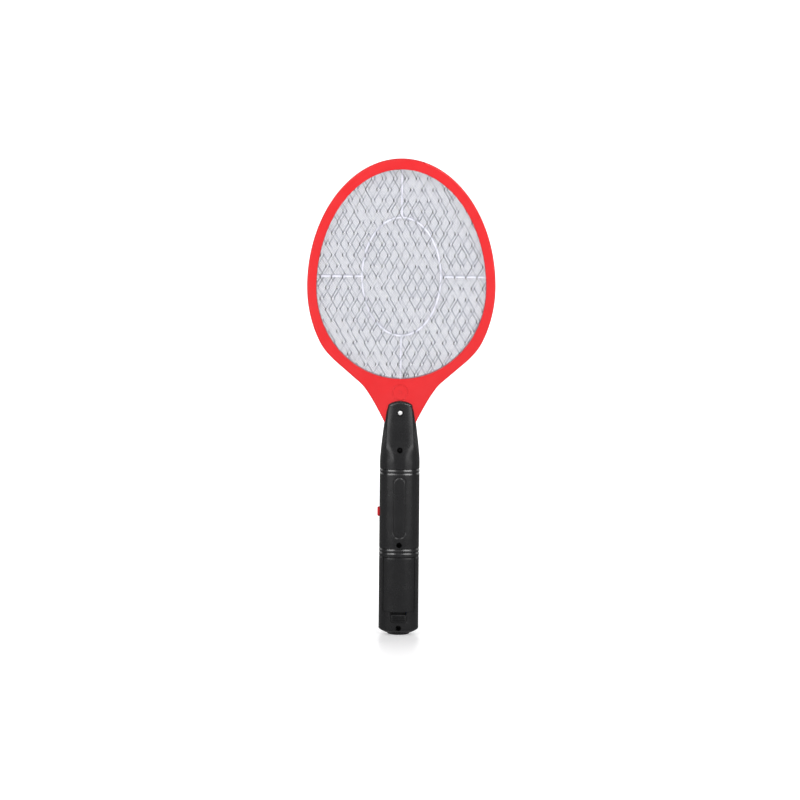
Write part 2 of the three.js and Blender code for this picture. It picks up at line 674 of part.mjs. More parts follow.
function transformerWinding() {
  const { radius, length, stretch, half } = WINDING;
  const [x, y, z] = half;
  const turns = new THREE.CapsuleGeometry(radius, length, 3, 12).rotateZ(Math.PI / 2);
  const body = common(turns.scale(1, stretch, stretch), box(-x, x, -y, y, -z, z));
  const legX = TRANSFORMER.halfDepth;
  const legY = TRANSFORMER.halfDepth + GAP;
  return cut(body, box(-legX, legX, -legY, legY, -FAR, FAR));
}

function filmCapacitor() {
  const { halfWidth, halfHeight, halfDepth } = FILM_CAPACITOR;
  const corner = halfDepth * 0.45;
  const leadX = halfWidth * 0.7;
  const leadEnd = halfDepth + 1.2;
  const shape = new THREE.Shape();
  shape.absarc(halfWidth - corner, halfHeight - corner, corner, 0, Math.PI / 2);
  shape.absarc(corner - halfWidth, halfHeight - corner, corner, Math.PI / 2, Math.PI);
  shape.absarc(corner - halfWidth, corner - halfHeight, corner, Math.PI, 1.5 * Math.PI);
  shape.absarc(halfWidth - corner, corner - halfHeight, corner, 1.5 * Math.PI, 2 * Math.PI);
  const body = plateY(new THREE.Shape(shape.getPoints(2)), -halfDepth, halfDepth, corner * 0.6);
  const leads = [-leadX, leadX].map((x) => rodY(LEAD.axial, 0, leadEnd, x, 0, 8));
  return join(body, ...leads);
}

function axialPart({ radius: bodyRadius, bodyLength, length }) {
  const lead = LEAD.axial;
  const neck = bodyRadius * 0.8;
  const half = bodyLength / 2;
  const profile = [
    [0, -length / 2],
    [lead, -length / 2],
    [lead, -half],
    [neck, -half],
    [bodyRadius, -half * 0.7],
    [bodyRadius, half * 0.7],
    [neck, half],
    [lead, half],
    [lead, length / 2],
    [0, length / 2],
  ];
  return lathe(profile, 10).rotateZ(Math.PI / 2);
}

function transistor() {
  const { radius, wrap, length, legPitch, stand } = TRANSISTOR;
  const shape = new THREE.Shape();
  shape.absarc(0, 0, radius, -wrap, Math.PI + wrap);
  const body = new THREE.ExtrudeGeometry(new THREE.Shape(shape.getPoints(8)), {
    depth: length,
    bevelEnabled: false,
  });
  body.rotateX(Math.PI / 2);
  const legs = [-legPitch, 0, legPitch].map((x) => rodY(LEAD.leg, -1, stand, x, LEAD.leg, 6));
  return join(body, ...legs);
}

function indicatorLamp() {
  const { radius, tipY, length, collar, legX } = LAMP;
  const base = tipY - length;
  const profile = [
    [0, base],
    [radius + collar, base],
    [radius + collar, base + 0.8],
    [radius, base + 0.8],
    [radius, tipY - 1],
    [radius * 0.7, tipY - 0.3],
    [0, tipY],
  ];
  const legEnd = BOARD.face + BOARD.thickness + GAP;
  const legs = [-legX, legX].map((x) => rodY(LEAD.leg, legEnd, base + 0.5, x, 0, 6));
  return join(lathe(profile, 12), ...legs);
}

// ---- Batteries and contacts ----

function cell(nubUp) {
  const { radius, length, nub, nubHeight } = CELL;
  const profile = [
    [0, 0],
    [radius - 0.8, 0],
    [radius, 0.6],
    [radius, length - 0.8],
    [radius - 0.6, length],
    [nub, length],
    [nub, length + nubHeight],
    [0, length + nubHeight],
  ];
  const geometry = lathe(profile, 20).rotateX(Math.PI / 2);
  return nubUp ? geometry : geometry.rotateX(Math.PI);
}

function contactSpring(height) {
  const { base, tip, gauge, turns, steps } = SPRING;
  const points = Array.from({ length: steps + 1 }, (_, i) => {
    const along = i / steps;
    const angle = 2 * Math.PI * turns * along;
    const radius = base + (tip - base) * along;
    return [radius * Math.cos(angle), radius * Math.sin(angle), gauge + (height - 2 * gauge) * along];
  });
  return wire(points, gauge, steps, 6);
}

function contactPlate(x0, x1) {
  return box(x0, x1, BAY.front, CONTACT.back, -BAY.plate / 2, BAY.plate / 2);
}

// ---- Screws, made with the underside of the head at y = 0 and the point along +Y ----

function crossScrew(headRadius, headHeight, shankRadius, length) {
  const profile = [
    [0, -headHeight],
    [headRadius * 0.65, -headHeight],
    [headRadius, -headHeight * 0.4],
    [headRadius, 0],
    [shankRadius, 0],
    [shankRadius, length - POINT],
    [0, length],
  ];
  const arm = headRadius * 0.55;
  const slot = 0.32;
  const floor = -headHeight * 0.35;
  const cross = [
    box(-arm, arm, -FAR, floor, -slot, slot),
    box(-slot, slot, -FAR, floor, -arm, arm),
  ];
  return cut(lathe(profile, 12), ...cross);
}

// ---- Link strip and tab at the bottom of the nets ----

function outerNetLink() {
  const netEdge = OPENING.centreZ - OPENING.lower - NET.edge;
  const top = netEdge - GAP;
  const foot = top - NET_LINK.drop;
  const reach = NET.y + NET.thickness / 2;
  const inner = NET.y - NET_LINK.lap;
  const [x0, x1] = NET_LINK.x;
  return join(
    box(x0, x1, -reach, -inner, foot, top),
    box(x0, x1, inner, reach, foot, top),
    box(x0, x1, -reach, reach, foot - NET_LINK.strip, foot + NET_LINK.lap),
  );
}

function middleNetTab() {
  const top = OPENING.centreZ - OPENING.lower - NET.edge - GAP;
  const [x0, x1] = NET_LINK.x;
  return box(-x1, -x0, -NET_LINK.tab, NET_LINK.tab, top - NET_LINK.drop, top);
}

// ---- Scene graph ----

function look(color, roughness, metalness = 0) {
  return new THREE.MeshStandardMaterial({ color, roughness, metalness });
}

function part(name, geometry, material, x = 0, y = 0, z = 0) {
  const mesh = new THREE.Mesh(geometry, material);
  mesh.name = name;
  mesh.position.set(x, y, z);
  return mesh;
}

const COLOUR = {
  frame: 0xe8323a,
  shell: 0x1b1b1c,
  button: 0xc92030,
  nickel: 0xc8c8c4,
  netWire: 0x8a8c90,
  spacer: 0xf2f2f4,
  board: 0x2f6b3a,
  ferrite: 0x3a3a3c,
  winding: 0xb8862f,
  film: 0x8c2f22,
  epoxy: 0x141416,
  resistor: 0xc9b48a,
  lamp: 0xc01818,
  sleeve: 0x2a4f8f,
  redWire: 0xb01c1c,
  blackWire: 0x1a1a1a,
};

function headGroup() {
  const head = new THREE.Group();
  const blank = frameBlank();
  const spacerNear = FINE_NET_THICKNESS / 2 + GAP;
  const spacerFar = NET.y - NET.thickness / 2 - GAP;
  const backHoles = diamondHoles(-NET.y, 0);
  const frontHoles = diamondHoles(NET.y, NET.cellWidth * 0.3);
  head.add(
    part("head_frame_back", join(frameHalf(blank, -1), ...neckMark()), look(COLOUR.frame, 0.4)),
    part("head_frame_front", frameHalf(blank, 1), look(COLOUR.frame, 0.4)),
    part("back_net", netPlate(-NET.y, NET.thickness, backHoles), look(COLOUR.netWire, 0.35, 1)),
    part("middle_net", netPlate(0, FINE_NET_THICKNESS, null), look(COLOUR.spacer, 0.4, 1)),
    part("front_net", netPlate(NET.y, NET.thickness, frontHoles), look(COLOUR.netWire, 0.35, 1)),
    part("back_spacer", spacer(-spacerFar, -spacerNear), look(COLOUR.spacer, 0.5)),
    part("front_spacer", spacer(spacerNear, spacerFar), look(COLOUR.spacer, 0.5)),
    part("outer_net_link", outerNetLink(), look(COLOUR.nickel, 0.35, 1)),
    part("middle_net_tab", middleNetTab(), look(COLOUR.nickel, 0.35, 1)),
  );
  return head;
}

function handleGroup() {
  const handle = new THREE.Group();
  handle.add(
    part("handle_back_shell", backShell(), look(COLOUR.shell, 0.35)),
    part("handle_front_shell", frontShell(), look(COLOUR.shell, 0.35)),
    part("battery_door", batteryDoor(), look(COLOUR.shell, 0.4)),
    part("push_button", pushButton(), look(COLOUR.button, 0.35)),
  );
  SCREWS.forEach(({ z, seat, tip, head, headHeight }, i) => {
    const underside = seat - GAP;
    const screw = crossScrew(head, headHeight, SHANK, tip - underside);
    handle.add(part(`handle_screw_${i + 1}`, screw, look(COLOUR.nickel, 0.3, 1), 0, underside, z));
  });
  return handle;
}

function boardGroup() {
  const board = new THREE.Group();
  const rise = BOARD.face - GAP; // components stop here, clear of the board's face
  const core = TRANSFORMER;
  const film = FILM_CAPACITOR;
  const driver = TRANSISTOR;
  board.add(
    part("circuit_board", circuitBoard(), look(COLOUR.board, 0.6)),
    part("switch_body", switchBody(), look(COLOUR.epoxy, 0.5)),
    part("switch_plunger", switchPlunger(), look(COLOUR.epoxy, 0.5)),
    part("transformer_core", transformerCore(), look(COLOUR.ferrite, 0.7), 0, core.y, core.z),
    part("transformer_winding", transformerWinding(), look(COLOUR.winding, 0.5), 0, core.y, core.z),
    part("hv_capacitor", filmCapacitor(), look(COLOUR.film, 0.4), film.x, rise - film.stand, film.z),
    part("transistor", transistor(), look(COLOUR.epoxy, 0.5), driver.x, rise - driver.stand, driver.z),
    part("indicator_lamp", indicatorLamp(), look(COLOUR.lamp, 0.15), 0, 0, LAMP.z),
  );
  const axialY = rise - AXIAL_STAND;
  DIODE.z.forEach((z, i) => {
    board.add(part(`diode_${i + 1}`, axialPart(DIODE), look(COLOUR.epoxy, 0.4), DIODE.x, axialY, z));
  });
  ["base_resistor", "bleed_resistor"].forEach((name, i) => {
    const finish = look(COLOUR.resistor, 0.5);
    board.add(part(name, axialPart(RESISTOR), finish, RESISTOR.x, axialY, RESISTOR.z[i]));
  });
  BOARD_SCREWS.forEach(({ x, z }, i) => {
    const { head, headHeight, shank, length } = BOARD_SCREW;
    const screw = crossScrew(head, headHeight, shank, length);
    board.add(part(`board_screw_${i + 1}`, screw, look(COLOUR.nickel, 0.3, 1), x, rise, z));
  });
  return board;
}

function powerGroup() {
  const power = new THREE.Group();
  const { x, y, length, nubHeight } = CELL;
  const floorPlate = BAY.floorZ + GAP + BAY.plate / 2;
  const ceilingPlate = BAY.ceilingZ - GAP - BAY.plate / 2;
  const lowestTouch = floorPlate + BAY.plate / 2 + GAP;
  const highestTouch = ceilingPlate - BAY.plate / 2 - GAP;
  const leftBottom = highestTouch - nubHeight - length;
  const rightTop = lowestTouch + nubHeight + length;
  const bridgeSpring = contactSpring(leftBottom - GAP - lowestTouch);
  const plated = () => look(COLOUR.nickel, 0.3, 1);
  const { outerX, innerX } = CONTACT;
  power.add(
    part("battery_left", cell(true), look(COLOUR.sleeve, 0.35), -x, y, leftBottom),
    part("battery_right", cell(false), look(COLOUR.sleeve, 0.35), x, y, rightTop),
    part("bridge_contact", contactPlate(-outerX, outerX), plated(), 0, 0, floorPlate),
    part("bridge_spring", bridgeSpring, plated(), -x, y, lowestTouch),
    part("positive_contact", contactPlate(-outerX, -innerX), plated(), 0, 0, ceilingPlate),
    part("negative_contact", contactPlate(innerX, outerX), plated(), 0, 0, ceilingPlate),
  );
  const hanging = contactSpring(highestTouch - rightTop - GAP).rotateX(Math.PI);
  power.add(part("negative_spring", hanging, plated(), x, y, highestTouch));
  return power;
}

// From the bay's ceiling to the board, bending round the screw column between them.
function batteryLead(side, endX) {
  const { x, y } = BATTERY_WIRE;
  const solder = BOARD.face - GAP - WIRE_RADIUS;
  return [
    [side * x, y, BAY.ceilingZ + 0.2],
    [side * x, y, 78],
    [side * 8.6, 2, 82.5],
    [side * 6.4, 0.8, 88.5],
    [(side * 5 + endX) / 2, solder - GAP, 92.6],
    [endX, solder, 94.5],
  ];
}

// From the board up through the tang to the foot of the nets, beside the two upper screws.
function netLead(startX, side, foot) {
  const solder = BOARD.face - GAP - WIRE_RADIUS;
  return [
    [startX, solder, 141.5],
    [startX, solder, 144.5],
    [side * 5.6, 0.6, 149.5],
    [side * 6.2, 0, 156],
    [side * 6.3, 0, 180],
    [side * 6.3, 0, 212],
    [side * 6.5, 0, foot],
  ];
}

function wiringGroup() {
  const wiring = new THREE.Group();
  const tabFoot = OPENING.centreZ - OPENING.lower - NET.edge - GAP - NET_LINK.drop;
  const stripFoot = tabFoot - NET_LINK.strip;
  const short = (points) => wire(points, BATTERY_WIRE.radius, 14);
  const long = (points) => wire(points, WIRE_RADIUS, 22);
  wiring.add(
    part("positive_wire", short(batteryLead(-1, -2.4)), look(COLOUR.redWire, 0.5)),
    part("negative_wire", short(batteryLead(1, 0.6)), look(COLOUR.blackWire, 0.5)),
    part("middle_net_wire", long(netLead(-5, -1, tabFoot - GAP)), look(COLOUR.redWire, 0.5)),
    part("outer_net_wire", long(netLead(3, 1, stripFoot - GAP)), look(COLOUR.blackWire, 0.5)),
  );
  return wiring;
}

const group = new THREE.Group();
group.name = "electric_fly_swatter";
group.add(headGroup(), handleGroup(), boardGroup(), powerGroup(), wiringGroup());

export default group;
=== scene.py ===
"""Looks for an electric fly swatter: shells, nets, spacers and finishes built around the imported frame."""

import json
import random
from itertools import groupby
from math import atan2, ceil, cos, hypot, pi, radians, sin
from types import SimpleNamespace as Sizes

import bmesh
import bpy
from mathutils import Matrix, Quaternion, Vector


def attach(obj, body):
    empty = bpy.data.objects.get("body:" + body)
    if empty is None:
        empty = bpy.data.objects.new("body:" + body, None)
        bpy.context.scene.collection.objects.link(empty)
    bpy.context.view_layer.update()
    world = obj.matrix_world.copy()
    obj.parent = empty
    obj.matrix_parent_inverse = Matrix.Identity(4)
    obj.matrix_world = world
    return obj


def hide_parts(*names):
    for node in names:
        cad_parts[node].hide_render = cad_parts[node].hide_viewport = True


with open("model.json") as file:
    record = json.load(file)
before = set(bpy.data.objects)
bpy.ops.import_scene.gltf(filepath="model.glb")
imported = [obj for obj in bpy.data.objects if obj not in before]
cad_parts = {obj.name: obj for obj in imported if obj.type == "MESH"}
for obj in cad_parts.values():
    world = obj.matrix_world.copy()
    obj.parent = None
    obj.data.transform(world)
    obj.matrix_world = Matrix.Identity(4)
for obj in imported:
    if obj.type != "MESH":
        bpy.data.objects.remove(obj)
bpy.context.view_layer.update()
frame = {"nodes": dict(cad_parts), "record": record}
scene = bpy.context.scene

MM = 0.001
FAR = 40  # past any surface of the handle, for cutting tools, in mm

# ---- Driving dimensions, in millimetres ----

GAP = 0.3
PARTING = 0.04

HEAD = Sizes(centre_z=330, half_width=88.4, upper=120, lower=103, half_depth=6.5)
FLARE_START = -0.53  # angle round the lower ellipse where the flare leaves it
KNEE = Vector((60, 258.5))
BEND = Vector((38, 239.5))
KNEE_SLOPE = 0.716
NECK_SLOPE = 1.108
NECK_HALF_WIDTH = 14.7
OPENING = Sizes(centre_z=328.7, half_width=79.6, upper=111, lower=85.2)
FRAME_WALL = 3.2
FRAME_SKIN = 1.6
FRAME_EDGE = Sizes(outer=1.5, parting=0.2, opening=0.7)
NECK_MARK = Sizes(z=230.8, radius=7.5, line=0.9, dot=1.6, proud=0.45)
TANG = Sizes(half_width=11.5, bottom_z=152)

NET_Y = 4.2
NET_CELL = Sizes(width=10.5, height=20.5)
NET_WIRE_RADIUS = 0.29
NET_REACH = 3.6
NET_KNOT = Sizes(half_height=1, apart=0.72)
NET_UNEVEN = Sizes(across=0.09, along=0.18, depth=0.12, sway=0.15, phase=6.28, wave=0.6)
NET_SIDES, NET_STEP = 7, 1.4  # faces round a wire, and the longest step along it
NET_BORDER = Sizes(inside=0.2, count=220)
FINE = Sizes(pitch=1.25, width=0.52, thickness=0.16, lean=radians(58), apart=0.1, uneven=0.06, reach=170)
LEAD = Sizes(gap=0.75, radius=0.24, twist=0.22, step=0.5, turn=0.9, uneven=0.03)
SPACER_BAR = 2.2
SPACER_OVAL = Sizes(centre_z=339.6, half_width=36.9, upper=55.5, lower=55.5)
SPACER_RIM = Sizes(outer=4.5, inner=0.6)
SPACER_Y = Sizes(near=0.5, net_gap=0.4)
SPACER_EDGE = (0.45, 0.45)

WALL = 2.2
HANDLE_TOP_Z = 201.8
STATIONS = [  # height, half-width, half-depth and squareness of the grip's section
    (0, 18.9, 16.2, 2.5),
    (165, 18.8, 15.9, 2.5),
    (176, 18.05, 15.2, 2.5),
    (188, 16.75, 13.3, 2.6),
    (HANDLE_TOP_Z, 15, 11, 2.6),
    (216.5, 12.9, 9.4, 2.6),
    (224, 12.5, 9, 2.6),
]
GROOVES = [(75.1, 0.4), (79.4, 0.72), (82.8, 0.72), (155, 0.72), (158.4, 0.72)]  # height and depth
GROOVE = Sizes(chamfer=1.6, wall=0.45)
PANEL = Sizes(low_z=166, full_z=183)
PANEL_EDGES = [(166, 13.9), (184, 13.5), (HANDLE_TOP_Z, 12.9), (216.5, 11.8), (224, 11.6)]
PANEL_EDGE = Sizes(width=1, drop=0.9, fall=1.6, crown=1.15, power=3)
FLANK = Sizes(below=0.8, change=0.45, blend=8)  # roundness of the neck's sides, and where it changes
TONGUE = Sizes(half_width=12.9, shoulder_z=216.2, arch=6.6, bevel=2.7, fall=1.35, ease=1.2, power=2.1)
TIP = 0.02  # the tongue's rings stop this far below the tip of its arch
FOOT = Sizes(half_width=10.7, half_depth=10.4, height=1.3, round=1.1)
BOWL = Sizes(reach=8, height=4.8, power=1.6)  # how the grip's lower end rounds in to the foot
PILL = Sizes(half_width=5.8, low_z=93.5, high_z=150.8, line=1, depth=0.5)

SCREWS = [  # height, mouth radius, seat depth, tip, head radius, head height
    (211.6, 3.4, -7.7, 7.8, 2.15, 0.85),
    (176.8, 2.65, -9.3, 10.9, 2.35, 1.6),
    (86.8, 2.65, -7, 8.7, 2.35, 1.6),
    (7.5, 2.65, -7, 8.7, 2.35, 1.6),
]
SHANK = 1.2
THREAD = Sizes(start=1.2, pitch=0.9, root=0.78, plain=3, point=1.6)
RECESS = Sizes(arm=0.58, half_width=0.3, depth=0.35)  # arm and depth are shares of the head
CLEARANCE = 1.6
BOSS = 4.2
FRAME_BOSS = BOSS - 0.6

CELL = Sizes(radius=7.1, x=7.25, y=-2)
CRADLES_Z = (34, 60)
WIRE_HOLE = Sizes(x=10, y=4, radius=1.3)
BAY = Sizes(floor_z=17.6, ceiling_z=75, wall=2, front=-7, half_width=14.5)
DOOR = Sizes(half_width=14.5, bottom_z=23.2, top_z=74.7, inner_y=-5, corner=0.6)
LATCH = Sizes(half_width=7.2, bottom_z=13.7, top_z=20.4, wall=1.5, reach=-10.2, root=-14.6, bend=1.2)
LATCH_CORNER, LATCH_INSET = 0.5, 0.6  # the arms under the tab are narrower by the inset
CREST = Sizes(near_y=-16.35, far_y=-15.75, fall=1.3, rise=0.1)
SEAM = Sizes(lean=0.8, apex_y=-10.95, depth=2, half_width=1.9)
SCOOP = Sizes(margin=1.1, floor_y=-15.35, corner=1.6)
RIDGES_Z = [14.5, 16.3, 18.1]
RIDGE = Sizes(half_width=5.8, floor_y=-14.6, height=0.85)
HOOK = Sizes(inner=7, outer=11, root=-13.2, face=-11.2, back=-9.8, root_height=2.7, top_z=77)
BUTTON = Sizes(z=117, half_height=4.6, half_width=3.2, outer_x=-20.9, inner_x=-14.4)
CAP = Sizes(overlap=0.4, edge=1)
FLANGE = Sizes(outer_x=-15.5, half_width=4, half_height=6.2)
BOARD = Sizes(face=3, thickness=1.6)
BOARD_SCREWS = [(-8.5, 96), (8.5, 143.5)]
BOARD_POST = Sizes(radius=2.6, pilot=1.1, pilot_end=10.4)
LAMP = Sizes(z=136, radius=1.5, tip_y=15.8, length=4.6, rim=0.2, rim_height=0.8, leg_x=0.8, leg=0.3)


# ---- Mesh tools: everything is made in millimetres and stored in metres ----


def put_in_scene(name, data):
    obj = bpy.data.objects.new(name, data)
    scene.collection.objects.link(obj)
    return obj


def add_object(name, verts, faces):
    mesh = bpy.data.meshes.new(name)
    mesh.from_pydata([tuple(c * MM for c in v) for v in verts], [], faces)
    mesh.update()
    return put_in_scene(name, mesh)


def tidy_normals(obj):
    bm = bmesh.new()
    bm.from_mesh(obj.data)
    bmesh.ops.recalc_face_normals(bm, faces=bm.faces)
    bm.to_mesh(obj.data)
    bm.free()
    return obj


def boolean(obj, tool, operation):
    modifier = obj.modifiers.new("solid", "BOOLEAN")
    modifier.operation = operation
    modifier.solver = "MANIFOLD"
    modifier.object = tool
    bpy.context.view_layer.update()
    evaluated = obj.evaluated_get(bpy.context.evaluated_depsgraph_get())
    made = bpy.data.meshes.new_from_object(evaluated)
    obj.modifiers.clear()
    old = obj.data
    obj.data = made
    bpy.data.meshes.remove(old)
    bpy.data.objects.remove(tool)
    return obj


def cut(obj, *tools):
    for tool in tools:
        boolean(obj, tool, "DIFFERENCE")
    return obj


def join(obj, *others):
    for other in others:
        boolean(obj, other, "UNION")
    return obj


def common(obj, tool):
    return boolean(obj, tool, "INTERSECT")


def move_inwards(loop, distance):
    """A counter-clockwise outline with every edge moved inwards by the same distance."""
    moved = []
    for i, point in enumerate(loop):
        along_before = (point - loop[i - 1]).normalized()
        along_after = (loop[(i + 1) % len(loop)] - point).normalized()
        before = Vector((-along_before.y, along_before.x))
        after = Vector((-along_after.y, along_after.x))
        moved.append(point + (before + after) * (distance / (1 + before.dot(after))))
    return moved


def edge_profile(low, high, low_round, high_round, steps):
    """Pairs of inset and depth that carry an outline from one face over rounded edges to the other."""
    angles = quarter_turn(steps)
    start, end = [(0, low)], [(0, high)]
    if low_round:
        start = [(low_round * (1 - sin(a)), low + low_round * (1 - cos(a))) for a in angles]
    if high_round:
        end = [(high_round * (1 - cos(a)), high - high_round * (1 - sin(a))) for a in angles]
    return start + end


def plate(name, loops, low, high, rounds, steps=5, place=lambda u, v, w: (u, w, v)):
    """A plate between two depths: its outline and then its holes, all counter-clockwise."""
    bm = bmesh.new()
    caps = {0: [], 1: []}
    for index, (loop, (low_round, high_round)) in enumerate(zip(loops, rounds)):
        sign = 1 if index == 0 else -1
        rings = []
        for inset, depth in edge_profile(low, high, low_round, high_round, steps):
            outline = move_inwards(loop, sign * inset) if inset else loop
            rings.append([bm.verts.new([c * MM for c in place(p.x, p.y, depth)]) for p in outline])
        for ring, above in zip(rings, rings[1:]):
            for i in range(len(ring)):
                j = (i + 1) % len(ring)
                bm.faces.new((ring[i], ring[j], above[j], above[i]))
        for cap, ring in ((0, rings[0]), (1, rings[-1])):
            caps[cap] += [bm.edges.get((ring[i - 1], ring[i])) for i in range(len(ring))]
    for edges in caps.values():
        bmesh.ops.triangle_fill(bm, use_beauty=True, use_dissolve=False, edges=edges)
    bmesh.ops.recalc_face_normals(bm, faces=bm.faces)
    mesh = bpy.data.meshes.new(name)
    bm.to_mesh(mesh)
    bm.free()
    return put_in_scene(name, mesh)


def plate_x(name, loop, low, high, rounds, steps=5):
    """A plate whose outline is in Y and Z, with its thickness along X."""
    return plate(name, [loop], low, high, [rounds], steps, place=lambda u, v, w: (w, u, v))


def plate_z(name, loop, low, high, rounds=(0, 0), steps=5):
    """A plate whose outline is in X and Y, with its thickness along Z."""
    return plate(name, [loop], low, high, [rounds], steps, place=lambda u, v, w: (u, v, w))


BOX_FACES = [(0, 1, 3, 2), (4, 6, 7, 5), (0, 4, 5, 1), (2, 3, 7, 6), (0, 2, 6, 4), (1, 5, 7, 3)]


def box(x0, x1, y0, y1, z0, z1):
    corners = [(x, y, z) for x in (x0, x1) for y in (y0, y1) for z in (z0, z1)]
    return tidy_normals(add_object("box", corners, BOX_FACES))


def angles_round(count):
    """Angles evenly round a circle."""
    return [2 * pi * i / count for i in range(count)]


def quarter_turn(steps):
    """Angles from nought to a right angle."""
    return [pi / 2 * k / steps for k in range(steps + 1)]


def arc(x, z, radius, angles):
    return [Vector((x + radius * cos(a), z + radius * sin(a))) for a in angles]


def circle(radius, x=0, z=0, count=48):
    return arc(x, z, radius, angles_round(count))


def rod_y(radius, y0, y1, x, z, count=40):
    return plate("rod", [circle(radius, x, z, count)], y0, y1, [(0, 0)])


def rod_z(radius, z0, z1, x, y, count=56):
    return plate_z("rod", circle(radius, x, y, count), z0, z1)


def ring_faces(rings, count):
    """Faces between rings of equally many points that follow each other in a list."""
    faces = []
    for low in range(0, (rings - 1) * count, count):
        high = low + count
        faces += [(low + i, low + (i + 1) % count, high + (i + 1) % count, high + i) for i in range(count)]
    return faces


def lathe(name, profile, count=48):
    """A profile of (radius, depth) pairs turned about the Y axis; it starts and ends on the axis."""
    angles = angles_round(count)
    verts = [(r * cos(a), depth, r * sin(a)) for r, depth in profile[1:-1] for a in angles]
    rings = len(profile) - 2
    faces = ring_faces(rings, count)
    verts += [(0, profile[0][1], 0), (0, profile[-1][1], 0)]
    for i in range(count):
        j = (i + 1) % count
        faces.append((rings * count, i, j))
        faces.append((rings * count + 1, (rings - 1) * count + i, (rings - 1) * count + j))
    return tidy_normals(add_object(name, verts, faces))


def loft(name, rings):
    """A closed body through rings of equally many points."""
    count = len(rings[0])
    verts = [p for ring in rings for p in ring]
    faces = ring_faces(len(rings), count)
    faces.append(tuple(range(count)))
    faces.append(tuple(range(count * (len(rings) - 1), count * len(rings))))
    return tidy_normals(add_object(name, verts, faces))


def sweep(points, radius, sides, verts, faces):
    """Adds a round wire along points to the lists; the section is carried along without twisting."""
    start = len(verts)
    tangents = []
    for i in range(len(points)):
        tangents.append((points[min(i + 1, len(points) - 1)] - points[max(i - 1, 0)]).normalized())
    normal = tangents[0].orthogonal().normalized()
    for point, tangent in zip(points, tangents):
        normal = (normal - tangent * normal.dot(tangent)).normalized()
        side = tangent.cross(normal)
        for a in angles_round(sides):
            verts.append(point + (normal * cos(a) + side * sin(a)) * radius)
    faces += [tuple(start + i for i in face) for face in ring_faces(len(points), sides)]
    faces.append(tuple(range(start, start + sides)))
    faces.append(tuple(range(len(verts) - sides, len(verts))))


def shade(obj, sharp_degrees=32, weighted=True):
    """Smooth shading that keeps edges sharper than the given angle."""
    bm = bmesh.new()
    bm.from_mesh(obj.data)
    bmesh.ops.remove_doubles(bm, verts=bm.verts, dist=2e-6)
    limit = radians(sharp_degrees)
    for edge in bm.edges:
        if len(edge.link_faces) == 2:
            edge.smooth = edge.calc_face_angle(0) < limit
    for face in bm.faces:
        face.smooth = True
    bm.to_mesh(obj.data)
    bm.free()
    if weighted:
        modifier = obj.modifiers.new("even_normals", "WEIGHTED_NORMAL")
        modifier.keep_sharp = True
        modifier.weight = 60
    return obj


# ---- Materials ----


def srgb(r, g, b):
    def linear(c):
        c /= 255
        return c / 12.92 if c <= 0.04045 else ((c + 0.055) / 1.055) ** 2.4

    return (linear(r), linear(g), linear(b), 1)


def scaled(colour, factor):
    return tuple(min(1, c * factor) for c in colour[:3]) + (1,)


class Tree:
    """A material's node tree with its Principled shader, and short ways to add to it."""

    def __init__(self, name):
        self.material = bpy.data.materials.new(name)
        self.material.use_nodes = True
        self.nodes = self.material.node_tree.nodes
        self.shader = self.nodes["Principled BSDF"]
        self.coordinates = self.nodes.new("ShaderNodeTexCoord").outputs["Object"]

    def put(self, value, socket):
        """Links an output to a socket, or sets the socket to a plain value."""
        if isinstance(value, bpy.types.NodeSocket):
            self.material.node_tree.links.new(value, socket)
        else:
            socket.default_value = value

    def fill(self, node, inputs):
        """Puts values into a node's inputs; an underscore in a key stands for a space."""
        for key, value in inputs.items():
            self.put(value, node.inputs[key.replace("_", " ")])

    def node(self, kind, **inputs):
        node = self.nodes.new("ShaderNode" + kind)
        self.fill(node, inputs)
        return node

    def stretched(self, scale, turn=(0, 0, 0)):
        return self.node("Mapping", Vector=self.coordinates, Scale=scale, Rotation=turn).outputs["Vector"]

    def along(self, axis):
        return self.node("SeparateXYZ", Vector=self.coordinates).outputs[axis]

    def noise(self, scale, detail=3, roughness=0.55, vector=None):
        place = vector or self.coordinates
        node = self.node("TexNoise", Vector=place, Scale=scale, Detail=detail, Roughness=roughness)
        return node.outputs["Fac"]

    def wave(self, scale, distortion=0):
        """Bands along X."""
        node = self.node("TexWave", Vector=self.coordinates, Scale=scale, Distortion=distortion)
        node.bands_direction = "X"
        return node.outputs["Fac"]

    def ramp(self, source, low, high, start=0, end=1):
        node = self.node("MapRange", Value=source, From_Min=low, From_Max=high, To_Min=start, To_Max=end)
        return node.outputs["Result"]

    def mix(self, factor, first, second):
        node = self.node("Mix")
        node.data_type = "RGBA"
        for value, socket in ((factor, "Factor"), (first, 6), (second, 7)):
            self.put(value, node.inputs[socket])
        return node.outputs[2]

    def add(self, first, second, operation="ADD"):
        node = self.node("Math")
        node.operation = operation
        self.put(first, node.inputs[0])
        self.put(second, node.inputs[1])
        return node.outputs[0]

    def bump(self, height, distance, strength=1, **under):
        node = self.node("Bump", Height=height, Distance=distance, Strength=strength, **under)
        return node.outputs["Normal"]

    def finish(self, colour, roughness, **inputs):
        """Fills the shader's inputs and gives back the material."""
        self.fill(self.shader, {"Base_Color": colour, "Roughness": roughness, **inputs})
        return self.material


